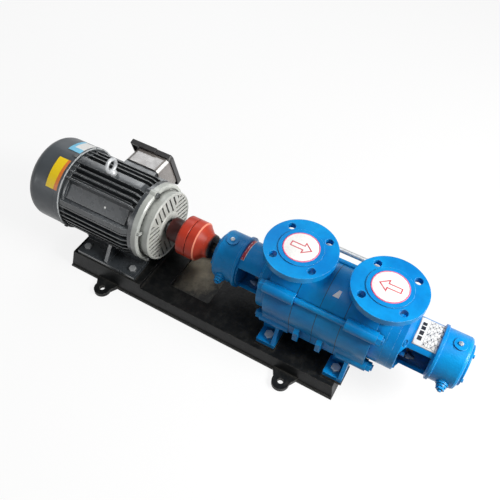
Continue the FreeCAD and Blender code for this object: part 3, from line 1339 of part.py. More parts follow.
def discharge_casing():
    """Outlet casing: last stage chamber, branch, feet, rod bosses and balance chamber."""
    x0 = DISCHARGE_X
    x1 = NECK_X
    neck = cylinder(x0, COVER_X, END_R)
    foot_x = PUMP_BOLT_X0 + PUMP_BOLT_SPACING
    clear = [cylinder(COVER_X, COVER_X + 60, END_R + RUNNING)]
    body = [neck, spigot(x0)] + casing_drum(x0, x1 - 8) + rod_bosses(x0 + 7, x1)
    body = fused(body + nozzle(DISCHARGE_PORT_X, clear) + casing_feet(foot_x, x0, x1))
    end = BALANCE_WALL_X - DISCHARGE_WALL
    chamber = turned([
        (x0 - SPIGOT - 1, SLEEVE_R), (x0 - SPIGOT - 1, CASING_BORE_R), (end - 8, CASING_BORE_R),
        (end, CASING_BORE_R - 10), (end, SLEEVE_R)])
    balance = cylinder(BALANCE_WALL_X, COVER_X + 1, BALANCE_DISC_R + BALANCE_ROOM)
    ring_seat = cylinder(BALANCE_WALL_X - RING_SEAT, BALANCE_WALL_X + 1, BALANCE_DISC_R - RING_SEAT_IN)
    way = cylinder(x0, COVER_X, SLEEVE_R + RUNNING)
    cutters = [chamber, balance, ring_seat, way] + rod_holes(x0, x1 + 1)
    throat_x = DISCHARGE_PORT_X - DISCHARGE_THROAT_SHIFT
    cutters += nozzle_holes(DISCHARGE_PORT_X, throat_x, BALANCE_DISC_R + 14)
    cutters += foot_holes(foot_x) + bracket_taps(COVER_X, -1)
    return body.cut(Part.makeCompound(cutters))


def vane(inner, outer, x0, x1, sweep):
    """A thin blade that curves outwards about the shaft, from one radius to another."""
    steps = 4
    left = []
    right = []
    for i in range(steps + 1):
        t = i / steps
        radius = inner + (outer - inner) * t
        turn = math.radians(sweep * t)
        centre = V(x0, radius * math.sin(turn), AXIS_Z + radius * math.cos(turn))
        side = V(0, math.cos(turn + math.radians(sweep * 0.6)), -math.sin(turn + math.radians(sweep * 0.6)))
        left.append(centre + side * (VANE_THICK / 2))
        right.append(centre - side * (VANE_THICK / 2))
    outline = [Part.BSplineCurve(), Part.BSplineCurve()]
    outline[0].interpolate(left)
    outline[1].interpolate(right)
    wire = Part.Wire([outline[0].toShape(), Part.makeLine(left[-1], right[-1]),
                      outline[1].toShape(), Part.makeLine(right[0], left[0])])
    return Part.Face(wire).extrude(X * (x1 - x0))


def diffuser(index):
    """Ring of guide vanes round an impeller; all but the last turn the water back in."""
    x0 = STAGE_X + index * STAGE_LENGTH
    start = x0 + IMPELLER_AT + 2
    plate_x = start + IMPELLER_WIDTH + 2 * SHROUD
    inner = IMPELLER_R + DIFFUSER_GAP
    plate = ring(plate_x, plate_x + DIFFUSER_PLATE, SLEEVE_R + 8, DIFFUSER_R)
    guide = vane(inner, DIFFUSER_R - 1, start, plate_x + 1, GUIDE_SWEEP)
    pieces = [plate] + spread(guide, DIFFUSER_VANES)
    if index < STAGES - 1:
        wall_x = x0 + STAGE_LENGTH - DIAPHRAGM
        back = vane(WEAR_RING_R + 4, DIFFUSER_R - 4, plate_x + DIFFUSER_PLATE - 1, wall_x, RETURN_SWEEP)
        pieces += spread(back, DIFFUSER_VANES)
    return fused(pieces)


def diffusers():
    """The guide vane rings of all stages."""
    return [diffuser(i) for i in range(STAGES)]


def wear_ring(index):
    """Bronze ring in the wall before an impeller's eye."""
    x1 = STAGE_X + index * STAGE_LENGTH
    return ring(x1 - DIAPHRAGM, x1, EYE_HUB_R + RUNNING, WEAR_RING_R - FIT)


def wear_rings():
    """One ring for each stage."""
    return [wear_ring(i) for i in range(STAGES)]


def impeller(index):
    """Closed impeller: eye ring, two shrouds, hub and backward curved vanes."""
    x0 = STAGE_X + index * STAGE_LENGTH
    front = x0 + IMPELLER_AT
    back = front + SHROUD + IMPELLER_WIDTH
    bore = SHAFT_R + FIT
    eye = turned([
        (x0 - DIAPHRAGM + 1, EYE_HUB_R - 4), (x0 - DIAPHRAGM + 1, EYE_HUB_R), (x0 + 2, EYE_HUB_R),
        (front - 2, EYE_HUB_R + 6), (front, IMPELLER_R), (front + SHROUD, IMPELLER_R),
        (front + SHROUD, EYE_HUB_R + 10), (front + 1, EYE_HUB_R), (x0 + 2, EYE_HUB_R - 4)])
    hub = turned([
        (x0 + HUB_START, bore), (x0 + HUB_START, SLEEVE_R - 1), (back - 4, IMPELLER_HUB_R),
        (back, IMPELLER_BACK_R), (back, IMPELLER_R), (back + SHROUD, IMPELLER_R),
        (back + SHROUD, IMPELLER_HUB_R + 2), (x0 + HUB_END, IMPELLER_HUB_R), (x0 + HUB_END, bore)])
    blade = vane(IMPELLER_BACK_R, IMPELLER_R, front + SHROUD - 2, back + 1, VANE_SWEEP)
    trimmed = blade.common(ring(front, back + 2, IMPELLER_BACK_R - 2, IMPELLER_R))
    return fused([eye, hub] + spread(trimmed, IMPELLER_VANES))


def pump_shaft():
    """Pump shaft from the coupling to the free end bearing."""
    start = COUPLING_X + SHAFT_END_GAP
    end = FREE_FACE_X + BEARING_AT + BEARING_WIDTH + 4
    chamfer = SHAFT_CHAMFER
    shaft = turned([
        (start, 0), (start, SHAFT_R - chamfer), (start + chamfer, SHAFT_R), (end - chamfer, SHAFT_R),
        (end, SHAFT_R - chamfer), (end, 0)])
    return shaft.cut(pump_key_blank(FIT))


def sleeve_spans():
    """Where the shaft sleeves lie, between the impellers and under both stuffing boxes."""
    spans = [(DRIVE_FACE_X - STUFFING_OUT - SLEEVE_REACH, STAGE_X + HUB_START)]
    for i in range(STAGES - 1):
        x0 = STAGE_X + i * STAGE_LENGTH
        spans.append((x0 + HUB_END, x0 + STAGE_LENGTH + HUB_START))
    last = STAGE_X + (STAGES - 1) * STAGE_LENGTH + HUB_END
    disc = balance_disc_x()
    spans.append((last, disc - DISC_HUB))
    spans.append((disc + BALANCE_DISC, FREE_FACE_X + STUFFING_OUT + SLEEVE_REACH))
    return spans


def balance_disc_x():
    """The balance disc runs just behind the balance ring."""
    return BALANCE_WALL_X + BALANCE_RING


def shaft_sleeves():
    """Sleeves that space the impellers and carry the packing."""
    pieces = []
    for i, (x0, x1) in enumerate(sleeve_spans()):
        outer = SLEEVE_R if i in (0, STAGES + 1) or i == STAGES else SLEEVE_R - 1
        pieces.append(ring(x0, x1, SHAFT_R + FIT, outer))
    return pieces


def balance_ring():
    """Fixed ring that the balance disc runs against."""
    wall = BALANCE_WALL_X
    inner = SLEEVE_R + 6
    flange = ring(wall, wall + BALANCE_RING - RUNNING, inner, BALANCE_DISC_R + 4)
    boss = ring(wall - RING_SEAT, wall + 1, inner, BALANCE_DISC_R - RING_SEAT_IN - FIT)
    return fused([flange, boss])


def balance_disc():
    """Disc on the shaft that takes up the axial thrust."""
    x0 = balance_disc_x()
    return turned([
        (x0 - DISC_HUB, SHAFT_R + FIT), (x0 - DISC_HUB, SLEEVE_R + 3), (x0, SLEEVE_R + 3),
        (x0, BALANCE_DISC_R),
        (x0 + BALANCE_DISC, BALANCE_DISC_R), (x0 + BALANCE_DISC, SHAFT_R + FIT)])


def balance_cover():
    """Cover of the balance chamber, with the free end's stuffing box."""
    x0 = COVER_X
    x1 = FREE_FACE_X
    mouth = x1 + STUFFING_OUT
    disc = cylinder(x0, x1, END_R)
    centring = cylinder(x0 - COVER_SPIGOT, x0 + 1, BALANCE_DISC_R + BALANCE_ROOM - FIT)
    box = cylinder(x1 - 1, mouth, STUFFING_R)
    body = fused([disc, centring, box] + gland_lugs(mouth, 1))
    packing_bore = cylinder(x1 - BOX_DEEP, mouth + 1, BOX_BORE_R)
    inside = x0 - COVER_SPIGOT - 1
    way = cylinder(inside, mouth + 1, SLEEVE_R + RUNNING)
    chamber = cylinder(inside, x0 + 3, BALANCE_DISC_R)
    cutters = [packing_bore, way, chamber] + gland_taps(mouth, 1)
    cutters += bracket_through(x0, x1) + union_holes(cover_union_x())
    return body.cut(Part.makeCompound(cutters))


def cover_union_x():
    """The balance pipe enters in the middle of the balance cover."""
    return (COVER_X + FREE_FACE_X) / 2


def union_holes(x):
    """A radial drilling that the balance pipe's union screws into."""
    start = on_radius(x, BALANCE_DISC_R - 4, PIPE_ANGLE)
    return [Part.makeCylinder(PIPE_R + UNION_THREAD + THREAD_PLAY, 60, start, radial(PIPE_ANGLE))]


def union_seats():
    """For each end of the balance pipe, its place and the radius of the wall it meets."""
    return ((PIPE_X0, CASING_R), (cover_union_x(), END_R))


def balance_pipe():
    """Steel pipe that returns the balance water to the suction casing."""
    out = radial(PIPE_ANGLE)
    xa, ra = union_seats()[0]
    xb, rb = union_seats()[1]
    a = on_radius(xa, ra - 2, PIPE_ANGLE)
    b = on_radius(xb, rb - 2, PIPE_ANGLE)
    bend = PIPE_BEND_R
    a_up = on_radius(xa, PIPE_LINE_R - bend, PIPE_ANGLE)
    b_up = on_radius(xb, PIPE_LINE_R - bend, PIPE_ANGLE)
    a_mid = on_radius(xa, PIPE_LINE_R - bend, PIPE_ANGLE) + X * (bend * (1 - math.cos(math.pi / 4)))
    a_mid = a_mid + out * (bend * math.sin(math.pi / 4))
    b_mid = on_radius(xb, PIPE_LINE_R - bend, PIPE_ANGLE) - X * (bend * (1 - math.cos(math.pi / 4)))
    b_mid = b_mid + out * (bend * math.sin(math.pi / 4))
    a_on = on_radius(xa + bend, PIPE_LINE_R, PIPE_ANGLE)
    b_on = on_radius(xb - bend, PIPE_LINE_R, PIPE_ANGLE)
    path = Part.Wire([
        Part.makeLine(a, a_up), Part.Arc(a_up, a_mid, a_on).toShape(), Part.makeLine(a_on, b_on),
        Part.Arc(b_on, b_mid, b_up).toShape(), Part.makeLine(b_up, b)])
    circle = Part.Wire(Part.Circle(a, out, PIPE_R).toShape())
    solid = path.makePipeShell([circle], True, False)
    bore = Part.Wire(Part.Circle(a, out, PIPE_R - PIPE_WALL).toShape())
    return solid.cut(path.makePipeShell([bore], True, False))


def pipe_unions():
    """Union nuts that join the balance pipe to the casings."""
    out = radial(PIPE_ANGLE)
    pieces = []
    for x, r in union_seats():
        start = on_radius(x, r + RUNNING, PIPE_ANGLE)
        head = turned_hexagon(start, UNION_R, UNION_LENGTH, out)
        thread_start = on_radius(x, r - UNION_DEPTH, PIPE_ANGLE)
        thread = Part.makeCylinder(PIPE_R + UNION_THREAD, UNION_DEPTH + 1, thread_start, out)
        body = head.fuse(thread).removeSplitter()
        pieces.append(body.cut(Part.makeCylinder(PIPE_R + THREAD_PLAY, 60, start - out * 30, out)))
    return pieces


def bracket_bolt_angles():
    """Angles of the bolts that hold the brackets on."""
    return [45.0 + i * 360.0 / BRACKET_BOLTS for i in range(BRACKET_BOLTS)]


def bracket_taps(face_x, inward):
    """Blind threaded holes for the bracket bolts, from a face into the casing."""
    depth = BRACKET_TAP + 1
    cutters = []
    for angle in bracket_bolt_angles():
        p = on_radius(face_x - inward * 1.0, BRACKET_BOLT_PCR, angle)
        cutters.append(Part.makeCylinder(BRACKET_BOLT_R + THREAD_PLAY, depth, p, X * inward))
    return cutters


def bracket_through(x0, x1):
    """Holes right through a plate for the bracket bolts."""
    r = BRACKET_BOLT_R + BOLT_PLAY
    return [Part.makeCylinder(r, x1 - x0 + 2, on_radius(x0 - 1, BRACKET_BOLT_PCR, a), X)
            for a in bracket_bolt_angles()]


def bracket_shape(face_x, way):
    """A bearing bracket. It runs from the casing face outwards; way is -1 or 1 along X."""
    def at(d):
        return face_x + way * d
    body = turned([
        (at(0), END_R), (at(BRACKET_FLANGE), END_R), (at(BRACKET_FLANGE + BRACKET_FLARE), BRACKET_R),
        (at(RING_START), BRACKET_R), (at(RING_START + 2), RING_R), (at(RING_START + RING_WIDTH - 2), RING_R),
        (at(RING_START + RING_WIDTH), HOUSING_R), (at(HOUSING_END - HOUSING_ROUND), HOUSING_R),
        (at(HOUSING_END - HOUSING_ROUND / 3), HOUSING_R - HOUSING_ROUND / 3),
        (at(HOUSING_END), HOUSING_R - HOUSING_ROUND),
        (at(HOUSING_END), BEARING_R), (at(BEARING_AT), BEARING_R), (at(BEARING_AT), BEARING_R - 6),
        (at(BEARING_AT - 6), BEARING_R - 10), (at(WINDOW_END + 3), BEARING_R - 10),
        (at(WINDOW_END + 3), BRACKET_BORE_R), (at(0), BRACKET_BORE_R)])
    wx0, wx1 = sorted((at(BRACKET_FLANGE + 1), at(WINDOW_END)))
    window = axis_block(wx0, wx1, -END_R, END_R, -WINDOW_HALF, WINDOW_HALF)
    nipple_x = at(NIPPLE_AT)
    boss = upright(nipple_x, 0, AXIS_Z + HOUSING_R - 8, AXIS_Z + HOUSING_R + NIPPLE_BOSS, NIPPLE_BOSS_R)
    out = radial(PLUG_ANGLE)
    boss_root = on_radius(nipple_x, HOUSING_R - 8, PLUG_ANGLE)
    plug_boss = Part.makeCylinder(PLUG_BOSS_R, PLUG_BOSS + 8, boss_root, out)
    body = fused([body.cut(window), boss, plug_boss])
    cutters = [upright(nipple_x, 0, AXIS_Z + BEARING_R - 5, AXIS_Z + HOUSING_R + 2 * NIPPLE_BOSS,
                       NIPPLE_THREAD_R + THREAD_PLAY)]
    plug_way = on_radius(nipple_x, BEARING_R + 3, PLUG_ANGLE)
    cutters.append(Part.makeCylinder(PLUG_THREAD_R + THREAD_PLAY, 40, plug_way, out))
    for angle in bracket_bolt_angles():
        hole_x = min(at(-1), at(BRACKET_FLANGE + 1))
        hole = on_radius(hole_x, BRACKET_BOLT_PCR, angle)
        cutters.append(Part.makeCylinder(BRACKET_BOLT_R + BOLT_PLAY, BRACKET_FLANGE + 2, hole, X))
        seat_x = min(at(BRACKET_FLANGE), at(BRACKET_FLANGE + BRACKET_SEAT))
        seat = on_radius(seat_x, BRACKET_BOLT_PCR, angle)
        cutters.append(Part.makeCylinder(BRACKET_SEAT_R, BRACKET_SEAT, seat, X))
    for angle in cover_screw_angles():
        tap = COVER_SCREW_GRIP + 2
        start = on_radius(min(at(HOUSING_END - tap), at(HOUSING_END + 1)), COVER_SCREW_PCR, angle)
        cutters.append(Part.makeCylinder(COVER_SCREW_R + THREAD_PLAY, tap + 1, start, X))
    return body.cut(Part.makeCompound(cutters))


def drive_bracket():
    """Bearing bracket at the coupling end."""
    return bracket_shape(DRIVE_FACE_X, -1)


def free_bracket():
    """Bearing bracket at the free end."""
    return bracket_shape(FREE_FACE_X, 1)


def bracket_bolts():
    """Bolts that hold both brackets."""
    pieces = []
    for angle in bracket_bolt_angles():
        p = on_radius(DRIVE_FACE_X - BRACKET_FLANGE, BRACKET_BOLT_PCR, angle)
        pieces.append(bolt(p.x, p.y, p.z, BRACKET_BOLT_R, BRACKET_FLANGE + BRACKET_BOLT_GRIP, X))
        q = on_radius(FREE_FACE_X + BRACKET_FLANGE, BRACKET_BOLT_PCR, angle)
        grip = BRACKET_FLANGE + COVER_LENGTH + BRACKET_BOLT_GRIP
        pieces.append(bolt(q.x, q.y, q.z, BRACKET_BOLT_R, grip, -X))
    return pieces


def cover_screw_angles():
    """Angles of the bearing cover screws."""
    return [0.0, 90.0, 180.0, 270.0]


def bearing_cover(face_x, way, bore):
    """A round cover on the end of a bearing housing; bore 0 leaves it closed."""
    x0, x1 = sorted((face_x, face_x + way * COVER_THICK))
    plate = cylinder(x0, x1, COVER_R)
    plate = round_circles(plate, face_x + way * COVER_THICK, COVER_R, 2.0)
    reach = HOUSING_END - BEARING_AT - BEARING_WIDTH
    s0, s1 = sorted((face_x - way * reach, face_x + way * 0.5))
    lip = ring(s0, s1, BEARING_R - 4, BEARING_R - FIT)
    body = plate.fuse(lip).removeSplitter()
    hole_r = COVER_SCREW_R + BOLT_PLAY
    cutters = [Part.makeCylinder(hole_r, COVER_THICK + 2, on_radius(x0 - 1, COVER_SCREW_PCR, a), X)
               for a in cover_screw_angles()]
    if bore:
        cutters.append(cylinder(x0 - 1, x1 + 1, bore))
    return body.cut(Part.makeCompound(cutters))


def drive_bearing_cover():
    """Cover at the coupling end, open for the shaft."""
    return bearing_cover(DRIVE_FACE_X - HOUSING_END, -1, SHAFT_R + RUNNING)


def free_bearing_cover():
    """Closed cover at the free end."""
    return bearing_cover(FREE_FACE_X + HOUSING_END, 1, 0.0)


def bearing_cover_screws():
    """Screws of both bearing covers."""
    pieces = []
    for face, way in ((DRIVE_FACE_X - HOUSING_END, -1), (FREE_FACE_X + HOUSING_END, 1)):
        for angle in cover_screw_angles():
            p = on_radius(face + way * COVER_THICK, COVER_SCREW_PCR, angle)
            pieces.append(bolt(p.x, p.y, p.z, COVER_SCREW_R, COVER_THICK + COVER_SCREW_GRIP, X * -way))
    return pieces


def packing_rings():
    """Packing rings in both stuffing boxes."""
    pieces = []
    for start, way in ((DRIVE_FACE_X + BOX_DEEP, -1), (FREE_FACE_X - BOX_DEEP, 1)):
        for i in range(PACKING_RINGS):
            a, b = sorted((start + way * i * PACKING, start + way * ((i + 1) * PACKING - FIT)))
            pieces.append(ring(a, b, SLEEVE_R + RUNNING, BOX_BORE_R - FIT))
    return pieces


def gland_x(face, way):
    """Where a gland's nose starts: on the last packing ring."""
    return face - way * BOX_DEEP + way * PACKING_RINGS * PACKING


def gland(face, way):
    """A gland follower: nose in the box, oval flange outside."""
    mouth = face + way * STUFFING_OUT
    start = gland_x(face, way)
    flange_at = mouth + way * GLAND_GAP
    n0, n1 = sorted((start, flange_at + way))
    f0, f1 = sorted((flange_at, flange_at + way * GLAND_FLANGE))
    nose = cylinder(n0, n1, BOX_BORE_R - FIT)
    plate = cylinder(f0, f1, GLAND_R)
    ears = axis_block(f0, f1, -GLAND_STUD_Y, GLAND_STUD_Y, -GLAND_LUG_R, GLAND_LUG_R)
    tips = [cylinder(f0, f1, GLAND_LUG_R, side * GLAND_STUD_Y) for side in (-1, 1)]
    body = fused([nose, plate, ears] + tips)
    cutters = [cylinder(n0 - 50, n1 + 50, SLEEVE_R + RUNNING)]
    cutters += [cylinder(f0 - 1, f1 + 1, GLAND_BOLT_R + BOLT_PLAY, side * GLAND_STUD_Y) for side in (-1, 1)]
    return body.cut(Part.makeCompound(cutters))


def glands():
    """Gland followers of both stuffing boxes."""
    return [gland(DRIVE_FACE_X, -1), gland(FREE_FACE_X, 1)]


def gland_lugs(mouth, way):
    """Lugs on a stuffing box that hold the gland studs."""
    a, b = sorted((mouth, mouth - way * GLAND_LUG))
    lugs = [cylinder(a, b, GLAND_LUG_R, side * GLAND_STUD_Y) for side in (-1, 1)]
    web = axis_block(a, b, -GLAND_STUD_Y, GLAND_STUD_Y, -GLAND_LUG_R, GLAND_LUG_R)
    return lugs + [web]


def gland_taps(mouth, way):
    """Threaded holes for the gland studs."""
    a, b = sorted((mouth + way, mouth - way * (GLAND_LUG + 1)))
    return [cylinder(a, b, GLAND_BOLT_R + THREAD_PLAY, side * GLAND_STUD_Y) for side in (-1, 1)]


def gland_studs():
    """Studs and nuts that press the glands in."""
    pieces = []
    for face, way in ((DRIVE_FACE_X, -1), (FREE_FACE_X, 1)):
        mouth = face + way * STUFFING_OUT
        outer = mouth + way * (GLAND_GAP + GLAND_FLANGE)
        for side in (-1, 1):
            a, b = sorted((mouth - way * STUD_IN, outer + way * STUD_OUT))
            y = side * GLAND_STUD_Y
            pieces.append(cylinder(a, b, GLAND_BOLT_R, y))
            pieces.append(nut(outer, y, AXIS_Z, GLAND_BOLT_R, X * way))
    return pieces


def nipple_places():
    """Where the grease nipples stand along the shaft."""
    return (DRIVE_FACE_X - NIPPLE_AT, FREE_FACE_X + NIPPLE_AT)


def grease_nipples():
    """Grease nipples on top of both housings."""
    pieces = []
    seat = AXIS_Z + HOUSING_R + NIPPLE_BOSS
    for x in nipple_places():
        shank = upright(x, 0, seat - NIPPLE_THREAD, seat + 1, NIPPLE_THREAD_R)
        flats = hexagon(x, 0, seat, NIPPLE_FLATS, NIPPLE_HEX, Z)
        tip = Part.makeCone(NIPPLE_FLATS - 1, NIPPLE_TIP_R, NIPPLE_TIP, V(x, 0, seat + NIPPLE_HEX), Z)
        pieces.append(fused([shank, flats, tip]))
    return pieces


def grease_plugs():
    """Stepped plugs on the near lower side of both housings."""
    out = radial(PLUG_ANGLE)
    pieces = []
    for x in nipple_places():
        seat = on_radius(x, HOUSING_R + PLUG_BOSS, PLUG_ANGLE)
        shank = Part.makeCylinder(PLUG_THREAD_R, PLUG_THREAD + 1, seat - out * PLUG_THREAD, out)
        collar = Part.makeCylinder(PLUG_COLLAR_R, PLUG_COLLAR, seat, out)
        flats = turned_hexagon(seat + out * (PLUG_COLLAR - 1), PLUG_FLATS, PLUG_HEX + 1, out)
        tip_seat = seat + out * (PLUG_COLLAR + PLUG_HEX - 1)
        tip = Part.makeCylinder(PLUG_THREAD_R, PLUG_TIP + 1, tip_seat, out)
        pieces.append(fused([shank, collar, flats, tip]))
    return pieces


def tie_rods():
    """Four rods that clamp the casings together."""
    x0 = DRIVE_FACE_X + ROD_SEAT - ROD_NUT - ROD_STUB
    x1 = NECK_X + ROD_NUT + ROD_STUB
    return [cylinder(x0, x1, ROD_R, y, z) for y, z in rod_places()]


def tie_rod_nuts():
    """Nuts at both ends of the tie rods."""
    pieces = []
    for y, z in rod_places():
        for x, along in ((DRIVE_FACE_X + ROD_SEAT, -X), (NECK_X, X)):
            body = hexagon(x, y, AXIS_Z + z, ROD_NUT_R, ROD_NUT, along)
            pieces.append(body.cut(cylinder(x - 20, x + 20, ROD_R + THREAD_PLAY, y, z)))
    return pieces


def pump_key_blank(play):
    """The key under the pump's coupling half; play widens it to make the keyway."""
    back = COUPLING_X + COUPLING_GROOVE / 2 + COUPLING_DISC
    end = back + TAPER_LENGTH + PUMP_HUB_LENGTH
    return key_blank(back + PUMP_KEY_START, end - PUMP_KEY_END, SHAFT_R, play)


def pump_key():
    """Key of the pump shaft's coupling half."""
    return pump_key_blank(0)


def motor_key():
    """Key of the motor's coupling half."""
    return motor_key_blank(0)


def pump_inner_races():
    """Inner rings of the pump's bearings."""
    return [ring(x0, x0 + BEARING_WIDTH, SHAFT_R + FIT, RACE_IN_R) for x0 in pump_bearing_places()]


def pump_rollers():
    """Rollers of the pump's bearings."""
    pieces = []
    for x0 in pump_bearing_places():
        pieces += rolling(x0, BEARING_WIDTH, RACE_IN_R, RACE_OUT_R, ROLLERS)
    return pieces


def parts():
    """Every node with its solids."""
    nodes = {
        "base_frame": base_frame,
        "motor_foot_bolts": motor_foot_bolts,
        "pump_foot_bolts": pump_foot_bolts,
        "motor_frame": motor_frame,
        "stator_core": stator_core,
        "stator_windings": stator_windings,
        "drive_endshield": drive_endshield,
        "fan_endshield": fan_endshield,
        "endshield_bolts": endshield_bolts,
        "fan_cover": fan_cover,
        "fan_cover_screws": fan_cover_screws,
        "terminal_box": terminal_box,
        "terminal_box_lid": terminal_box_lid,
        "terminal_lid_screws": terminal_lid_screws,
        "terminal_block": terminal_block,
        "cable_gland": cable_gland,
        "eyebolt": eyebolt,
        "bearing_outer_races": bearing_outer_races,
        "motor_shaft": motor_shaft,
        "motor_key": motor_key,
        "rotor_core": rotor_core,
        "cooling_fan": cooling_fan,
        "motor_inner_races": motor_inner_races,
        "motor_rollers": motor_rollers,
        "motor_coupling_half": motor_coupling_half,
        "coupling_spider": coupling_spider,
        "pump_coupling_half": pump_coupling_half,
        "pump_shaft": pump_shaft,
        "pump_key": pump_key,
        "shaft_sleeves": shaft_sleeves,
        "balance_disc": balance_disc,
        "pump_inner_races": pump_inner_races,
        "pump_rollers": pump_rollers,
        "suction_casing": suction_casing,
        "discharge_casing": discharge_casing,
        "diffusers": diffusers,
        "wear_rings": wear_rings,
        "tie_rods": tie_rods,
        "tie_rod_nuts": tie_rod_nuts,
        "balance_ring": balance_ring,
        "balance_cover": balance_cover,
        "balance_pipe": balance_pipe,
        "pipe_unions": pipe_unions,
        "drive_bracket": drive_bracket,
        "free_bracket": free_bracket,
        "bracket_bolts": bracket_bolts,
        "drive_bearing_cover": drive_bearing_cover,
        "free_bearing_cover": free_bearing_cover,
        "bearing_cover_screws": bearing_cover_screws,
        "packing_rings": packing_rings,
        "glands": glands,
        "gland_studs": gland_studs,
        "grease_nipples": grease_nipples,
        "grease_plugs": grease_plugs,
    }
    built = {name: make() for name, make in nodes.items()}
    for i in range(MIDDLE_STAGES):
        built["stage_casing_%d" % (i + 1)] = stage_casing(i)
    for i in range(STAGES):
        built["impeller_%d" % (i + 1)] = impeller(i)
    return built


def main():
    os.makedirs("parts", exist_ok=True)
    for name, made in parts().items():
        pieces = made if isinstance(made, list) else [made]
        solids = [solid for piece in pieces for solid in piece.Solids]
        shape = solids[0] if len(solids) == 1 else Part.makeCompound(solids)
        if not shape.isValid():
            print("not valid:", name)
        shape.exportStep("parts/%s.step" % name)
        print(name, len(solids), "solids", round(shape.Volume / 1000.0, 1), "cm3")


main()
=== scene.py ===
# %% [markdown]
# # A multistage boiler feed pump
#
# A motor drives a ring section pump through a claw coupling, and all three stand on one cast
# base. The solids come from the CAD model and stay where they are. This lesson lights them,
# paints them, and adds the small finishing pieces that a drawing leaves out: washers, threads,
# plates, labels and port covers.

import json
import math

import bmesh
import bpy
from mathutils import Matrix, Vector


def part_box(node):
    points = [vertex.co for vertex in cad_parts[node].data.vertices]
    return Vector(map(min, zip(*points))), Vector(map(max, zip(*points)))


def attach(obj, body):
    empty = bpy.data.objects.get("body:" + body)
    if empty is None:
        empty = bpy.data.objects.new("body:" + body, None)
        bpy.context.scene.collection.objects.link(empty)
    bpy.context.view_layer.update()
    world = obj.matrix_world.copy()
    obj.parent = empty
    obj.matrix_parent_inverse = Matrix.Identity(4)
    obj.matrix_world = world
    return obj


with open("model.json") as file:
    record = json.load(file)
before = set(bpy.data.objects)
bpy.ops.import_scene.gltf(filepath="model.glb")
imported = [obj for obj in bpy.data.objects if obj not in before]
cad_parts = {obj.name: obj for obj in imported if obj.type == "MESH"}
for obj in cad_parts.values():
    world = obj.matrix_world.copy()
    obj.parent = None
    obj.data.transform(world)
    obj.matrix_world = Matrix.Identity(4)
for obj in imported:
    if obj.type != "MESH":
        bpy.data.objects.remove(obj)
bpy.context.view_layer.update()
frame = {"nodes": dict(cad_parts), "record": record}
SHAFT_HEIGHT = 0.165
print("CAD nodes:", len(frame["nodes"]))

# %% [markdown]
# ## The camera
#
# The picture is taken from above the near side, looking down by about half a right angle. The
# camera's place, turn and lens were worked out from the round flanges and the straight base.
# Three directions make its matrix: right, up and back. That is exact, and it needs no tracking
# constraint.

# %% Camera
CAMERA_PLACE = Vector((0.4537, -0.7283, 1.2306))
CAMERA_TURN = math.radians(-27.0)
CAMERA_DIP = math.radians(51.12)
CAMERA_ROLL = math.radians(-3.01)
CAMERA_LENS = 41.7
SENSOR_WIDTH = 36
NEAR_CLIP = 0.01


def camera_matrix(place, turn, dip, roll):
    """The matrix of a camera that turns from +Y, dips below the horizon and rolls."""
    ahead = Vector((math.sin(turn) * math.cos(dip), math.cos(turn) * math.cos(dip), -math.sin(dip)))
    level = Vector((math.cos(turn), -math.sin(turn), 0))
    below = ahead.cross(level)
    right = level * math.cos(roll) + below * math.sin(roll)
    down = below * math.cos(roll) - level * math.sin(roll)
    matrix = Matrix((right, -down, -ahead)).transposed().to_4x4()
    matrix.translation = place
    return matrix


camera = bpy.data.objects.new("camera", bpy.data.cameras.new("camera"))
camera.data.lens = CAMERA_LENS
camera.data.sensor_width = SENSOR_WIDTH
camera.data.clip_start = NEAR_CLIP
camera.matrix_world = camera_matrix(CAMERA_PLACE, CAMERA_TURN, CAMERA_DIP, CAMERA_ROLL)
bpy.context.scene.collection.objects.link(camera)
bpy.context.scene.camera = camera
print("camera at", [round(v, 3) for v in camera.matrix_world.translation])

# %% [markdown]
# ## Node helpers
#
# Every finish here is a small graph of nodes. A few helpers keep each graph readable: one makes a
# node, one feeds a socket with a number or with another node, and the others name the steps that
# paint and metal need, such as grain, a blend of two colours, and a mask for edges.

# %% Node helpers
def new_material(name):
    """A material with a Principled shader wired to its output."""
    material = bpy.data.materials.new(name)
    material.use_nodes = True
    tree = material.node_tree
    tree.nodes.clear()
    output = tree.nodes.new("ShaderNodeOutputMaterial")
    shader = tree.nodes.new("ShaderNodeBsdfPrincipled")
    tree.links.new(shader.outputs["BSDF"], output.inputs["Surface"])
    return material, tree, shader


def add(tree, kind, **settings):
    """A shader node of one kind, with its attributes set."""
    made = tree.nodes.new("ShaderNode" + kind)
    for key, value in settings.items():
        setattr(made, key, value)
    return made


def feed(tree, socket, value):
    """Gives a socket a number or a colour, or links it to another node's output."""
    if isinstance(value, bpy.types.NodeSocket):
        tree.links.new(value, socket)
    else:
        socket.default_value = value


def srgb(red, green, blue):
    """A colour as a paint chart gives it, 0 to 255, in the linear values that nodes want."""
    def linear(value):
        value /= 255
        return value / 12.92 if value <= 0.04045 else ((value + 0.055) / 1.055) ** 2.4
    return (linear(red), linear(green), linear(blue), 1.0)


def place_on_piece(tree, stretch=None):
    """Object coordinates, stretched by a Mapping node when asked."""
    place = add(tree, "TexCoord").outputs["Object"]
    if stretch is None:
        return place
    mapping = add(tree, "Mapping")
    feed(tree, mapping.inputs["Vector"], place)
    mapping.inputs["Scale"].default_value = stretch
    return mapping.outputs["Vector"]


def part_of(tree, vector, letter):
    """One part of a vector: X, Y or Z."""
    made = add(tree, "SeparateXYZ")
    feed(tree, made.inputs[0], vector)
    return made.outputs[letter]


def grain(tree, scale, detail=3.0, roughness=0.55, stretch=None):
    """Soft noise with so many bumps to the metre."""
    made = add(tree, "TexNoise")
    feed(tree, made.inputs["Vector"], place_on_piece(tree, stretch))
    made.inputs["Scale"].default_value = scale
    made.inputs["Detail"].default_value = detail
    made.inputs["Roughness"].default_value = roughness
    return made.outputs["Fac"]


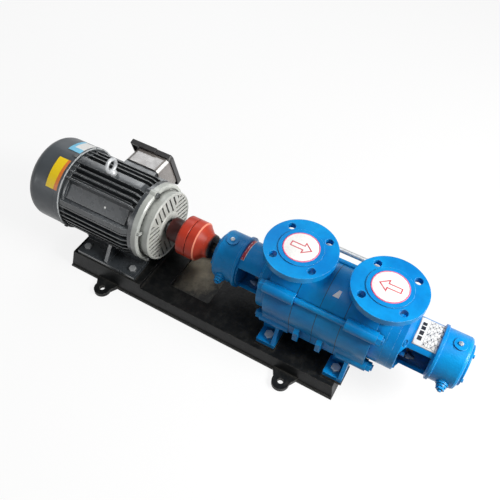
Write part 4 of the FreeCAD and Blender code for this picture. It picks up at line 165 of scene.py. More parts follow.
def rescale(tree, value, low, high, new_low=0.0, new_high=1.0):
    """Stretches the range low..high onto a new one and clamps what lies outside."""
    made = add(tree, "MapRange")
    feed(tree, made.inputs["Value"], value)
    ends = {"From Min": low, "From Max": high, "To Min": new_low, "To Max": new_high}
    for name, number in ends.items():
        made.inputs[name].default_value = number
    return made.outputs["Result"]


def patchy(tree, scale, detail, low=0.0, high=1.0, roughness=0.55, contrast=(0.3, 0.7)):
    """Grain whose middle range, the contrast, is stretched onto low..high."""
    return rescale(tree, grain(tree, scale, detail, roughness), *contrast, low, high)


def sums(tree, operation, first, second):
    """One step of arithmetic, such as MULTIPLY or ADD."""
    made = add(tree, "Math", operation=operation)
    feed(tree, made.inputs[0], first)
    feed(tree, made.inputs[1], second)
    return made.outputs["Value"]


def times(tree, first, second, *more):
    """Numbers or sockets multiplied together."""
    product = sums(tree, "MULTIPLY", first, second)
    for factor in more:
        product = sums(tree, "MULTIPLY", product, factor)
    return product


# The places of a Mix node's sockets when it mixes colours.
MIX_AMOUNT, MIX_FIRST, MIX_SECOND, MIX_RESULT = 0, 6, 7, 2


def blend(tree, amount, first, second):
    """Mixes two colours."""
    made = add(tree, "Mix", data_type="RGBA")
    feed(tree, made.inputs[MIX_AMOUNT], amount)
    feed(tree, made.inputs[MIX_FIRST], first)
    feed(tree, made.inputs[MIX_SECOND], second)
    return made.outputs[MIX_RESULT]


print("helpers ready")

# %% [markdown]
# ## Edges and corners
#
# Paint is thin on an outer edge and dirt gathers in an inner corner. Here the lighter edges are
# also a painted highlight, and the darker corners also painted shade. Two nodes find both without
# any unwrapping. Bevel gives the direction that a rounded edge would face: where it differs from
# the real one, there is an edge. Ambient Occlusion is dark where surfaces are close together, and
# that tells inner corners from outer edges. The Bevel direction also goes into the bump, so each
# sharp CAD edge catches a thin line of light as a real one does.

# %% Edge and corner masks
EDGE_WIDTH = 0.0011
CORNER_REACH = 0.014
MASK_SAMPLES = 6
OPEN_PLACE = 0.62


def edges_and_corners(tree, edge_width=EDGE_WIDTH, crowded=OPEN_PLACE):
    """Masks for outer edges and inner corners, and the direction of a rounded edge.

    crowded is how open a place must be before its edges count, low for fins that stand close.
    """
    rounded = add(tree, "Bevel", samples=MASK_SAMPLES)
    rounded.inputs["Radius"].default_value = edge_width
    surface = add(tree, "NewGeometry")
    agree = add(tree, "VectorMath", operation="DOT_PRODUCT")
    feed(tree, agree.inputs[0], rounded.outputs["Normal"])
    feed(tree, agree.inputs[1], surface.outputs["Normal"])
    any_edge = rescale(tree, agree.outputs["Value"], 0.985, 0.80)
    occlusion = add(tree, "AmbientOcclusion", samples=MASK_SAMPLES)
    occlusion.inputs["Distance"].default_value = CORNER_REACH
    openness = occlusion.outputs["AO"]
    outer = times(tree, any_edge, rescale(tree, openness, crowded, crowded + 0.28))
    corner = rescale(tree, openness, 0.8, 0.25)
    return outer, corner, rounded.outputs["Normal"]


def bump(tree, height, depth, facing):
    """Raises the surface by a height of so many metres, over a rounded edge direction."""
    made = add(tree, "Bump")
    made.inputs["Strength"].default_value = 1.0
    made.inputs["Distance"].default_value = depth
    feed(tree, made.inputs["Height"], height)
    feed(tree, made.inputs["Normal"], facing)
    return made.outputs["Normal"]


print("edge masks ready")

# %% [markdown]
# ## Shades that change across a piece
#
# Some pieces are not one shade all over: a hub is darker than the disc beside it, a rim carries a
# painted highlight, and so does a corner that faces one way. Two small helpers give such a change,
# one along the shaft and one by the way the surface faces. Both read only the piece's own
# coordinates, so they look the same from every side.

# %% Tints
RAGGED_EDGE = 0.002


def shade_along(start, end, colour):
    """A tint that turns to another colour from one place along the shaft to another."""
    def tint(tree, body):
        ragged = patchy(tree, 90, 4, -RAGGED_EDGE, RAGGED_EDGE, contrast=(0.2, 0.8))
        along = sums(tree, "ADD", part_of(tree, place_on_piece(tree), "X"), ragged)
        return blend(tree, rescale(tree, along, start, end), body, srgb(*colour))
    return tint


def band_along(start, end, colour):
    """A tint for a narrow band round the shaft, such as a painted highlight on a rim."""
    def tint(tree, body):
        along = part_of(tree, place_on_piece(tree), "X")
        past_start = rescale(tree, along, start - 0.0003, start + 0.0001)
        before_end = rescale(tree, along, end - 0.0001, end + 0.0003, 1.0, 0.0)
        uneven = patchy(tree, 70, 4, 0.5, 1.0, contrast=(0.25, 0.5))
        return blend(tree, times(tree, past_start, before_end, uneven), body, srgb(*colour))
    return tint


def facing_highlight(way, colour):
    """A tint that brightens what faces one way, as a painted highlight."""
    def tint(tree, body):
        facet = add(tree, "VectorMath", operation="DOT_PRODUCT")
        feed(tree, facet.inputs[0], add(tree, "NewGeometry").outputs["Normal"])
        facet.inputs[1].default_value = way
        faces_it = rescale(tree, facet.outputs["Value"], 0.93, 0.985)
        uneven = patchy(tree, 60, 4, 0.55, 1.0, contrast=(0.25, 0.5))
        return blend(tree, times(tree, faces_it, uneven), body, srgb(*colour))
    return tint


print("tints ready")

# %% [markdown]
# ## Paint on castings
#
# The base, the motor and the pump are sand castings that were painted after assembly. Their paint
# has a low, uneven ripple from the sand under it, a finer skin from the spray gun, slightly
# different shades from pass to pass, dust in the corners and thin places along the edges. Darker
# corners are also painted shade, and lighter edges a painted highlight. One function makes all of
# the paints, so that they belong together, and its arguments say how each one differs.

# %% Paint
SETTLED_DUST = (118, 116, 110)
COAT_ROUGHNESS = 0.16
BUMP_UNIT = 0.001


def paint(name, colour, shade, gloss, coat=0.0, ripple=0.00012, ripple_scale=260.0, skin=0.00002,
          worn_and_lit_edge=(120, 120, 116), edge_wear_and_highlight=0.35, corner_dust_and_shade=(92, 90, 84), corner_dust_and_shade_amount=0.25, tint=None, shine=0.5,
          edge_width=EDGE_WIDTH, crowded=OPEN_PLACE, smooth_above=None, settled=0.0,
          edge_breakup_from=0.42, edge_highlight_from=None):
    """Sprayed paint over a casting: two shades, ripple, skin, lighter edges and tinted corners.

    ripple and skin are depths in metres. Above the height smooth_above the casting is machined
    and hardly ripples. Outer edges are lighter, partly for worn paint and partly as a painted
    highlight, and above a given height they are lighter still, as a painted highlight from above.
    Inner corners take a lighter colour for dust and a darker one as painted shade.
    """
    material, tree, shader = new_material(name)
    outer, corner, facing = edges_and_corners(tree, edge_width, crowded)
    # Clouds a hand's breadth wide run between the two shades, and a fine mottle darkens both.
    cloud = patchy(tree, 9, 5, contrast=(0.35, 0.65))
    mottle = patchy(tree, 70, 4, 0.0, 0.22)
    body = blend(tree, cloud, srgb(*colour), srgb(*shade))
    body = blend(tree, mottle, body, srgb(*[c * 0.8 for c in shade]))
    if tint is not None:
        body = tint(tree, body)
    # Inner corners take the corner colour: a lighter one is dust, a darker one is painted shade.
    dust_and_shade_in_corners = times(tree, corner, patchy(tree, 120, 4, 0.2, 1.0, contrast=(0.3, 0.6)))
    body = blend(tree, times(tree, dust_and_shade_in_corners, corner_dust_and_shade_amount), body, srgb(*corner_dust_and_shade))
    if settled:
        looks_up = part_of(tree, add(tree, "NewGeometry").outputs["Normal"], "Z")
        drifts = patchy(tree, 55, 7, 0.0, settled, roughness=0.75, contrast=(0.46, 0.72))
        film = times(tree, rescale(tree, looks_up, 0.7, 0.95), drifts)
        body = blend(tree, film, body, srgb(*SETTLED_DUST))
    # Outer edges turn lighter where the grain is high: partly worn paint, partly a painted
    # highlight.
    edge_breakup = patchy(tree, 210, 5, roughness=0.7, contrast=(edge_breakup_from, edge_breakup_from + 0.18))
    lighter_edges = times(tree, outer, edge_breakup, edge_wear_and_highlight)
    if edge_highlight_from is not None:
        height_here = part_of(tree, place_on_piece(tree), "Z")
        lit_from_above = rescale(tree, height_here, edge_highlight_from, edge_highlight_from + 0.05, 0.15, 1.0)
        lighter_edges = times(tree, lighter_edges, lit_from_above)
    body = blend(tree, lighter_edges, body, srgb(*worn_and_lit_edge))
    feed(tree, shader.inputs["Base Color"], body)
    rough = patchy(tree, 48, 5, gloss - 0.07, gloss + 0.09)
    rough = sums(tree, "ADD", rough, times(tree, dust_and_shade_in_corners, 0.25))
    feed(tree, shader.inputs["Roughness"], rough)
    # The relief is the sand's ripple with the spray gun's skin on top.
    cast = times(tree, grain(tree, ripple_scale, 4), ripple / BUMP_UNIT)
    if smooth_above is not None:
        height_here = part_of(tree, place_on_piece(tree), "Z")
        level = rescale(tree, height_here, smooth_above, smooth_above + 0.004, 1.0, 0.25)
        cast = times(tree, cast, level)
    height = sums(tree, "ADD", cast, times(tree, grain(tree, 1400, 2), skin / BUMP_UNIT))
    feed(tree, shader.inputs["Normal"], bump(tree, height, BUMP_UNIT, facing))
    shader.inputs["Coat Weight"].default_value = coat
    shader.inputs["Coat Roughness"].default_value = COAT_ROUGHNESS
    shader.inputs["Specular IOR Level"].default_value = shine
    return material


COWL_RIM_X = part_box("fan_cover")[1][0]
# A painted highlight along the cowl's rim.
cowl_rim_highlight = shade_along(COWL_RIM_X - 0.0012, COWL_RIM_X - 0.0006, (186, 190, 192))
finish = {
    "base_black": paint(
        "base_black", (17, 19, 21), (11, 13, 14), 0.40, ripple=0.00045, ripple_scale=170,
        worn_and_lit_edge=(150, 146, 138), edge_wear_and_highlight=0.6, corner_dust_and_shade=(104, 100, 92), corner_dust_and_shade_amount=0.4, shine=0.22,
        edge_width=0.0016, settled=0.12),
    # The fin edges are painted near white as a painted highlight, brightest higher up, and the fin
    # valleys near black as painted shade.
    "motor_black": paint(
        "motor_black", (70, 75, 79), (50, 54, 58), 0.27, ripple=0.00008,
        worn_and_lit_edge=(216, 218, 218), edge_wear_and_highlight=1.0, corner_dust_and_shade=(12, 14, 16), corner_dust_and_shade_amount=0.8, shine=1.0,
        edge_width=0.0012, crowded=0.30, edge_breakup_from=0.26, edge_highlight_from=0.175),
    "cowl_grey": paint(
        "cowl_grey", (86, 92, 97), (74, 79, 84), 0.38, ripple=0.00002, ripple_scale=60,
        skin=0.000008, worn_and_lit_edge=(200, 200, 198), edge_wear_and_highlight=0.8, corner_dust_and_shade_amount=0.1, shine=0.5, tint=cowl_rim_highlight),
    # The shield's edges carry a painted highlight, and its grooves and recesses painted shade.
    "shield_grey": paint(
        "shield_grey", (200, 202, 196), (176, 180, 175), 0.32, ripple=0.00008,
        worn_and_lit_edge=(245, 245, 240), edge_wear_and_highlight=0.9, corner_dust_and_shade=(24, 26, 28), corner_dust_and_shade_amount=0.95, shine=0.8,
        crowded=0.5, edge_width=0.0014),
}
print("paints:", sorted(finish))

# %% [markdown]
# ## Blue enamel
#
# The pump is the showpiece of the set, in a thick glossy enamel. Under the clear gloss the sand
# ripple still shows, so the highlights break up. A coat over a slightly rougher body gives that
# look: the body scatters the colour and the coat mirrors the light.

# %% Blue enamel
FLANGE_BACK = 0.284
# Pale cyan edges are a painted highlight, and near-black corners painted shade.
finish["pump_blue"] = paint(
    "pump_blue", (12, 156, 226), (2, 124, 200), 0.33, coat=0.1, ripple=0.00055, ripple_scale=300,
    worn_and_lit_edge=(176, 230, 252), edge_wear_and_highlight=0.8, corner_dust_and_shade=(2, 18, 38), corner_dust_and_shade_amount=0.9, shine=0.2, crowded=0.5,
    smooth_above=FLANGE_BACK)
finish["blue_steel"] = finish["pump_blue"]
enamelled = [p["node"] for p in frame["record"]["subparts"] if p["material_slot"] == "pump_blue"]
print("enamel on", len(enamelled), "nodes")

# %% [markdown]
# ## Coupling red
#
# Both coupling halves are red-orange on the flanged part, and the hubs are darker. The hub lies
# further along the shaft, so the shade follows the X coordinate, broken up by grain.

# %% Coupling red
MOTOR_HUB_X = (-0.086, -0.096)
PUMP_HUB_X = (-0.0215, -0.0165)
RIM_BEVEL_X = (-0.0462, -0.0438)
MOTOR_HUB_DARK = (68, 24, 22)
# The light band on the rim's bevel is a painted highlight.
RIM_HIGHLIGHT = (244, 150, 122)
PUMP_HUB_BLACK = (22, 18, 18)


def coupling_paint(name, tint):
    """The red of both halves, with a tint of its own for each hub."""
    # The pale edges are a painted highlight and the dark corners painted shade.
    return paint(name, (212, 70, 42), (176, 52, 36), 0.38, shine=0.3, ripple=0.00010,
                 worn_and_lit_edge=(252, 178, 156), edge_wear_and_highlight=0.85, corner_dust_and_shade=(60, 24, 20), corner_dust_and_shade_amount=0.5,
                 edge_width=0.0016, tint=tint)


def pump_half_tint(tree, body):
    """A painted highlight along the bevel of the rim, and a black hub past the cone."""
    body = band_along(*RIM_BEVEL_X, RIM_HIGHLIGHT)(tree, body)
    return shade_along(*PUMP_HUB_X, PUMP_HUB_BLACK)(tree, body)


finish["coupling_red"] = coupling_paint("motor_coupling_red", shade_along(*MOTOR_HUB_X, MOTOR_HUB_DARK))
pump_red = coupling_paint("pump_coupling_red", pump_half_tint)
print("coupling paints:", finish["coupling_red"].name, pump_red.name)

# %% [markdown]
# ## Bare metal
#
# Zinc plate, turned steel, bronze and laminated sheet differ in colour, roughness and lay, the
# direction of the fine lines that the tool left. Noise that is squeezed along one axis makes such
# lines. For parts turned about the shaft the lines go round, so the noise changes fast along X
# and slowly across it.

# %% Bare metal
def bare_metal(name, colour, shade, rough, lay=(1, 1, 1), lay_scale=900.0, lay_depth=0.00001,
               metallic=1.0):
    """Metal with two shades, tool marks and dull patches."""
    material, tree, shader = new_material(name)
    corner, facing = edges_and_corners(tree)[1:]
    cloud = patchy(tree, 60, 5)
    body = blend(tree, cloud, srgb(*colour), srgb(*shade))
    # Inner corners are painted darker, as painted shade.
    body = blend(tree, times(tree, corner, 0.3), body, srgb(*[c * 0.35 for c in shade]))
    feed(tree, shader.inputs["Base Color"], body)
    lines = grain(tree, lay_scale, 3, 0.5, stretch=lay)
    patches = patchy(tree, 150, 5, rough - 0.06, rough + 0.1)
    feed(tree, shader.inputs["Roughness"], patches)
    feed(tree, shader.inputs["Normal"], bump(tree, lines, lay_depth, facing))
    shader.inputs["Metallic"].default_value = metallic
    return material


ROUND_THE_SHAFT = (1.0, 0.02, 0.02)
metals = {
    "bright_zinc": dict(colour=(236, 238, 238), shade=(206, 209, 211), rough=0.32, metallic=0.65),
    "machined_steel": dict(colour=(176, 176, 178), shade=(150, 150, 152), rough=0.30,
                           lay=ROUND_THE_SHAFT, lay_scale=2500, lay_depth=0.00002),
    "bronze": dict(colour=(190, 148, 88), shade=(160, 118, 66), rough=0.34,
                   lay=ROUND_THE_SHAFT, lay_scale=2200),
    "cast_inner": dict(colour=(128, 128, 130), shade=(104, 103, 102), rough=0.5,
                       lay_scale=500, lay_depth=0.00006),
    "laminated_steel": dict(colour=(118, 120, 124), shade=(92, 94, 98), rough=0.42,
                            lay=ROUND_THE_SHAFT, lay_scale=1600, lay_depth=0.00008),
    "copper_enamel": dict(colour=(176, 98, 52), shade=(140, 70, 36), rough=0.38,
                          lay_scale=700, lay_depth=0.00005),
}
for metal, look in metals.items():
    finish[metal] = bare_metal(metal, **look)
print("metals:", sorted(metals))

# %% [markdown]
# ## Rubber, packing and mouldings
#
# The spider between the claws is rubber, the gland packing is braided yarn soaked in graphite,
# and the fan, cable gland and terminal block are moulded. They don't shine much, so their detail
# is in the bump.

# %% Rubber, packing and mouldings
SOFT_EDGE = 0.0006


def soft_finish(name, colour, shade, rough, scale, depth, sheen=0.0):
    """A dull finish with a fine surface, for rubber, yarn and moulded parts."""
    material, tree, shader = new_material(name)
    outer, _, facing = edges_and_corners(tree, SOFT_EDGE)
    cloud = patchy(tree, 80, 5)
    body = blend(tree, cloud, srgb(*colour), srgb(*shade))
    body = blend(tree, times(tree, outer, 0.25), body, srgb(*[min(255, c * 2.2) for c in colour]))
    feed(tree, shader.inputs["Base Color"], body)
    patches = patchy(tree, 130, 4, rough - 0.08, rough + 0.08)
    feed(tree, shader.inputs["Roughness"], patches)
    feed(tree, shader.inputs["Normal"], bump(tree, grain(tree, scale, 4), depth, facing))
    shader.inputs["Sheen Weight"].default_value = sheen
    return material


finish["rubber_black"] = soft_finish(
    "rubber_black", (34, 34, 34), (24, 24, 24), 0.68, 900, 0.00005, sheen=0.1)
finish["packing_graphite"] = soft_finish(
    "packing_graphite", (62, 62, 64), (42, 42, 44), 0.6, 700, 0.0003, sheen=0.3)
finish["moulded_black"] = soft_finish(
    "moulded_black", (36, 36, 37), (28, 28, 29), 0.5, 1500, 0.00003)
slots = {m["slot"] for m in frame["record"]["materials"]}
print("slots without a finish:", sorted(slots - set(finish)))

# %% [markdown]
# ## The terminal box
#
# The terminal box is a separate casting whose paint looks a little warmer than the motor's, and a
# reflection of the sky is painted on its upper corner. It gets its own paint, smoother than the
# fins'. A few more nodes look different from their slot, such as the glands with blue overspray on
# them, and a table gives each of these its own finish.

# %% Terminal box paint and nodes with a finish of their own
UP_AND_FORWARD = (0.7071, 0.0, 0.7071)
# The box's pale edges are a painted highlight, its darker corners painted shade, and the bright
# facet that faces one way a painted reflection of the sky.
box_paint = paint(
    "terminal_box_paint", (142, 136, 132), (108, 102, 99), 0.26, coat=0.3, ripple=0.00005,
    worn_and_lit_edge=(220, 220, 218), edge_wear_and_highlight=0.8, corner_dust_and_shade_amount=0.15, shine=1.0, edge_width=0.0016,
    tint=facing_highlight(UP_AND_FORWARD, (252, 252, 250)))
lid_paint = paint(
    "terminal_lid_paint", (50, 49, 50), (40, 39, 40), 0.36, ripple=0.00004,
    worn_and_lit_edge=(150, 148, 144), edge_wear_and_highlight=0.5, corner_dust_and_shade_amount=0.15, shine=0.7)
# The pale blue edges are a painted highlight, and the near-black corners painted shade.
gland_paint = paint(
    "gland_overspray", (20, 66, 104), (12, 44, 74), 0.34, ripple=0.0001,
    worn_and_lit_edge=(80, 150, 196), edge_wear_and_highlight=0.5, corner_dust_and_shade=(8, 12, 18), corner_dust_and_shade_amount=0.7, shine=0.5)
eye_zinc = bare_metal(
    "cast_zinc", (224, 226, 228), (196, 199, 202), 0.46, lay_scale=500, lay_depth=0.00003,
    metallic=0.35)
oiled_steel = bare_metal(
    "oiled_steel", (70, 68, 66), (44, 43, 42), 0.34, lay=ROUND_THE_SHAFT, lay_scale=2500)
screw_grey = bare_metal("dull_screw", (120, 122, 122), (90, 92, 92), 0.42)
own_finish = {
    "terminal_box": box_paint,
    "terminal_box_lid": lid_paint,
    "pump_coupling_half": pump_red,
    "grease_plugs": finish["pump_blue"],
    "glands": gland_paint,
    "gland_studs": gland_paint,
    "eyebolt": eye_zinc,
    "pump_shaft": oiled_steel,
    "endshield_bolts": screw_grey,
    "fan_cover_screws": screw_grey,
}
for part in frame["record"]["subparts"]:
    solid = frame["nodes"][part["node"]]
    chosen = own_finish.get(part["node"], finish[part["material_slot"]])
    for held in solid.material_slots:
        held.material = chosen

# %% [markdown]
# ## The floor
#
# The set is shown on a plain white ground. For the camera, and for mirror-like surfaces, the
# floor gives off an even white, with its own shading mixed in so that a soft shadow stays. Under
# the base lies a patch of workshop concrete, which only shows through the window in the deck.

# %% Floor
PATCH_HALF_LENGTH = 0.37
PATCH_HALF_WIDTH = 0.12
LIT_SPOT = (-0.085, 0.022, 0.0)
GROUND_LIT = (0.15, 0.15, 0.15, 1)
GROUND_SEEN = (0.92, 0.92, 0.92, 1)
GLOW_SHARE = 0.86


def concrete_colour(tree):
    """Workshop concrete, lit through the window in the deck and darker away from there."""
    stains = patchy(tree, 60, 6, roughness=0.7)
    concrete = blend(tree, stains, srgb(92, 92, 90), srgb(56, 58, 60))
    away = add(tree, "VectorMath", operation="DISTANCE")
    feed(tree, away.inputs[0], place_on_piece(tree))
    away.inputs[1].default_value = LIT_SPOT
    uneven = patchy(tree, 45, 6, -0.03, 0.03, roughness=0.7, contrast=(0.2, 0.8))
    ragged = sums(tree, "ADD", away.outputs["Value"], uneven)
    return blend(tree, rescale(tree, ragged, 0.01, 0.085, 1.0, 0.0), concrete, srgb(206, 194, 170))


def floor_material():
    """White for the eye, shaded for the light, with a concrete patch under the base."""
    material, tree, shader = new_material("studio_floor")
    output = shader.outputs["BSDF"].links[0].to_node
    place = place_on_piece(tree)
    from_middle = {k: sums(tree, "ABSOLUTE", part_of(tree, place, k), 0.0) for k in "XY"}
    patch = times(tree, sums(tree, "LESS_THAN", from_middle["X"], PATCH_HALF_LENGTH),
                  sums(tree, "LESS_THAN", from_middle["Y"], PATCH_HALF_WIDTH))
    rays = add(tree, "LightPath")
    seen = rays.outputs["Is Camera Ray"]
    for ray in ("Is Glossy Ray", "Is Transmission Ray"):
        seen = sums(tree, "MAXIMUM", seen, rays.outputs[ray])
    ground = blend(tree, seen, GROUND_LIT, GROUND_SEEN)
    feed(tree, shader.inputs["Base Color"], blend(tree, patch, ground, concrete_colour(tree)))
    shader.inputs["Roughness"].default_value = 0.9
    white = add(tree, "Emission")
    white.inputs["Strength"].default_value = 1.0
    mixed = add(tree, "MixShader")
    feed(tree, mixed.inputs[0],
         times(tree, seen, GLOW_SHARE, sums(tree, "SUBTRACT", 1.0, patch)))
    tree.links.new(shader.outputs["BSDF"], mixed.inputs[1])
    tree.links.new(white.outputs["Emission"], mixed.inputs[2])
    tree.links.new(mixed.outputs["Shader"], output.inputs["Surface"])
    return material


def mesh_object(name, verts, faces, material=None, smooth=False):
    """A mesh object from lists of corners and faces."""
    mesh = bpy.data.meshes.new(name)
    mesh.from_pydata(verts, [], faces)
    mesh.polygons.foreach_set("use_smooth", [smooth] * len(mesh.polygons))
    made = bpy.data.objects.new(name, mesh)
    bpy.context.scene.collection.objects.link(made)
    if material is not None:
        mesh.materials.append(material)
    return made


FLOOR_REACH = 30.0
corners = [(x * FLOOR_REACH, y * FLOOR_REACH, 0) for x, y in ((-1, -1), (1, -1), (1, 1), (-1, 1))]
floor = mesh_object("studio_floor", corners, [(0, 1, 2, 3)], floor_material())
print("floor", 2 * FLOOR_REACH, "m wide")

# %% [markdown]
# ## The lamps
#
# The light is plain: a big soft lamp from the pump's end, a wide one overhead, one behind the
# motor, and a weak one low on the left for the motor's gloss. Area lamps give the shadows soft
# edges, as the windows of a hall do. With dim walls they light a white card on top of the set to
# about white.

# %% Lamps
def soft_lamp(name, place, aim, size, power, colour):
    """A square area lamp that points at a place."""
    lamp = bpy.data.objects.new(name, bpy.data.lights.new(name, "AREA"))
    lamp.data.size = size
    lamp.data.energy = power
    lamp.data.color = colour
    lamp.location = place
    lamp.rotation_euler = (Vector(aim) - Vector(place)).to_track_quat("-Z", "Y").to_euler()
    bpy.context.scene.collection.objects.link(lamp)
    return lamp


soft_lamp("end_lamp", (1.9, 0.10, 1.50), aim=(0.2, 0, 0.2), size=0.8, power=66.0,
          colour=(1.0, 0.99, 0.97))
soft_lamp("top_lamp", (0.3, -0.1, 2.4), aim=(0.1, 0, 0.1), size=1.2, power=10.0,
          colour=(0.97, 0.99, 1.0))
soft_lamp("back_lamp", (-1.2, 1.5, 1.7), aim=(-0.4, 0, 0.2), size=0.9, power=12.0,
          colour=(0.96, 0.98, 1.0))
soft_lamp("left_lamp", (-1.7, -2.1, 1.0), aim=(-0.25, 0, 0.2), size=0.7, power=7.0,
          colour=(0.98, 0.99, 1.0))

# %% [markdown]
# ## The walls
#
# The world is dim for the light that falls on the set, and white for the camera. A mirror-like
# surface sees walls that fade from white at the floor to grey higher up, so that rods and caps
# have something to show.

# %% Walls
DIM_SKY = 0.10
WALL_TOP = 0.25
world = bpy.data.worlds.new("studio_walls")
world.use_nodes = True
walls = world.node_tree
sky = walls.nodes["Background"]
rays = add(walls, "LightPath")
height = part_of(walls, add(walls, "TexCoord").outputs["Generated"], "Z")
mirrored = times(walls, rays.outputs["Is Glossy Ray"],
                 rescale(walls, height, 0.0, 0.5, 1.0, WALL_TOP))
shown = sums(walls, "MAXIMUM", rays.outputs["Is Camera Ray"], rays.outputs["Is Transmission Ray"])
strength = sums(walls, "MAXIMUM", sums(walls, "MAXIMUM", mirrored, shown), DIM_SKY)
feed(walls, sky.inputs["Strength"], strength)
sky.inputs["Color"].default_value = (1, 1, 1, 1)
bpy.context.scene.world = world
bpy.context.scene.view_settings.view_transform = "Standard"
print("world:", world.name, "with", len(walls.nodes), "nodes")

# %% [markdown]
# ## Plates that wrap round the shaft line
#
# Labels and plates on this set lie on round parts. Each is a thin sheet bent about the shaft: its
# width is given along X, its height as an angle, and it stands a fraction of a millimetre proud.
# A grid of points is enough, closed at the back and the rim, so that it is a real thin solid.

# %% Wrapped sheets
def face_outward(made):
    """Turns a closed shell the right way round when its volume comes out negative."""
    shell = bmesh.new()
    shell.from_mesh(made.data)
    bmesh.ops.recalc_face_normals(shell, faces=shell.faces)
    if shell.calc_volume(signed=True) < 0:
        bmesh.ops.reverse_faces(shell, faces=shell.faces)
    shell.to_mesh(made.data)
    shell.free()
    return made


def around(x, radius, angle):
    """A point at a distance from the shaft line. Angle 0 is the near side and 90 is the top."""
    turn = math.radians(angle)
    return (x, -radius * math.cos(turn), SHAFT_HEIGHT + radius * math.sin(turn))


def wrapped_sheet(name, span, low, high, radius, thick, material, end_span=None,
                  columns=6, rows=24):
    """A thin sheet bent about the shaft.

    span is its two ends in X. A sheet that tapers has another span, end_span, at the high angle.
    """
    end_span = end_span or span
    verts, faces = [], []
    for skin in (radius, radius + thick):
        for i in range(rows + 1):
            part = i / rows
            x0, x1 = (s + (e - s) * part for s, e in zip(span, end_span))
            for j in range(columns + 1):
                x = x0 + (x1 - x0) * j / columns
                verts.append(around(x, skin, low + (high - low) * part))
    across = columns + 1
    back = across * (rows + 1)
    for i in range(rows):
        for j in range(columns):
            a = i * across + j
            b, c, d = a + 1, a + across + 1, a + across
            faces.append((a, d, c, b))
            faces.append((a + back, b + back, c + back, d + back))
    rim = list(range(across)) + [i * across + columns for i in range(1, rows + 1)]
    rim += [rows * across + j for j in range(columns - 1, -1, -1)]
    rim += [i * across for i in range(rows - 1, 0, -1)]
    for first, second in zip(rim, rim[1:] + rim[:1]):
        faces.append((first, second, second + back, first + back))
    made = face_outward(mesh_object(name, verts, faces, material))
    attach(made, "standing")
    return made


def printed(name, colour, shade, rough, metallic=0.0):
    """A printed or anodised sheet with faint scuffs."""
    material, tree, shader = new_material(name)
    scuff = patchy(tree, 220, 6, roughness=0.7, contrast=(0.35, 0.7))
    feed(tree, shader.inputs["Base Color"], blend(tree, scuff, srgb(*colour), srgb(*shade)))
    patches = patchy(tree, 90, 4, rough - 0.06, rough + 0.1)
    feed(tree, shader.inputs["Roughness"], patches)
    flat = add(tree, "NewGeometry").outputs["Normal"]
    feed(tree, shader.inputs["Normal"], bump(tree, grain(tree, 420, 3), 0.00002, flat))
    shader.inputs["Metallic"].default_value = metallic
    return material


ink = {
    "white": printed("label_white", (240, 240, 238), (226, 226, 224), 0.35),
    "yellow": printed("label_yellow", (255, 222, 34), (250, 208, 28), 0.35),
    "orange": printed("label_orange", (236, 132, 60), (222, 116, 52), 0.35),
    "sky": printed("label_sky", (120, 200, 232), (104, 186, 222), 0.35),
    "red": printed("plate_red", (196, 30, 62), (172, 24, 52), 0.3),
    "pink": printed("label_pink", (232, 110, 146), (220, 92, 130), 0.4),
    "crimson": printed("label_crimson", (206, 70, 88), (190, 58, 76), 0.4),
    "navy": printed("table_navy", (40, 44, 66), (30, 34, 52), 0.4),
    "seal": printed("joint_seal", (6, 22, 40), (4, 16, 30), 0.5),
    "black": printed("plate_black", (36, 38, 48), (28, 30, 38), 0.4),
    "silver": printed("plate_silver", (206, 208, 210), (188, 190, 194), 0.3, metallic=1.0),
}
print("inks:", sorted(ink))

# %% [markdown]
# ## Trees that repeat a small shape
#
# Washers, thread crests, rivets and the lines of a table are each one small shape on many places.
# A Geometry Nodes tree holds the shape and its sizes, and a bare mesh of points says where the
# copies go. Each point carries a turn, so a rivet on a round part can stand square to it. The
# copies are made real at the end, because an export keeps only real geometry.

# %% Trees
def new_tree(name, sizes):
    """A node group that takes points, some named sizes and a material."""
    tree = bpy.data.node_groups.new(name, "GeometryNodeTree")
    tree.interface.new_socket("Geometry", in_out="INPUT", socket_type="NodeSocketGeometry")
    for size, value in sizes.items():
        kind = "NodeSocketVector" if isinstance(value, tuple) else "NodeSocketFloat"
        tree.interface.new_socket(size, in_out="INPUT", socket_type=kind).default_value = value
    tree.interface.new_socket("Material", in_out="INPUT", socket_type="NodeSocketMaterial")
    tree.interface.new_socket("Geometry", in_out="OUTPUT", socket_type="NodeSocketGeometry")
    return tree, tree.nodes.new("NodeGroupInput"), tree.nodes.new("NodeGroupOutput")


def step(tree, kind, inputs):
    """A geometry node of one kind, with its inputs fed by name."""
    made = tree.nodes.new("GeometryNode" + kind)
    for name, value in inputs.items():
        feed(tree, made.inputs[name], value)
    return made


def copy_to_points(tree, given, result, shape):
    """Ends a tree: one turned copy of the shape on each point, made real, with its material."""
    turn = step(tree, "InputNamedAttribute", {"Name": "turn"})
    turn.data_type = "FLOAT_VECTOR"
    copies = step(tree, "InstanceOnPoints", {"Points": given.outputs["Geometry"], "Instance": shape,
                                             "Rotation": turn.outputs["Attribute"]})
    real = step(tree, "RealizeInstances", {"Geometry": copies.outputs["Instances"]})
    coloured = step(tree, "SetMaterial", {"Geometry": real.outputs["Geometry"],
                                          "Material": given.outputs["Material"]})
    feed(tree, result.inputs["Geometry"], coloured.outputs["Geometry"])
    return tree


def hoop_tree():
    """A ring of rectangular section, for washers and thread crests."""
    tree, given, result = new_tree("hoops", {"Radius": 0.01, "Width": 0.002, "Height": 0.001})
    line = step(tree, "CurvePrimitiveCircle", {"Resolution": 40, "Radius": given.outputs["Radius"]})
    section = step(tree, "CurvePrimitiveQuadrilateral",
                   {k: given.outputs[k] for k in ("Width", "Height")})
    swept = step(tree, "CurveToMesh", {"Curve": line.outputs["Curve"],
                                       "Profile Curve": section.outputs["Curve"]})
    return copy_to_points(tree, given, result, swept.outputs["Mesh"])


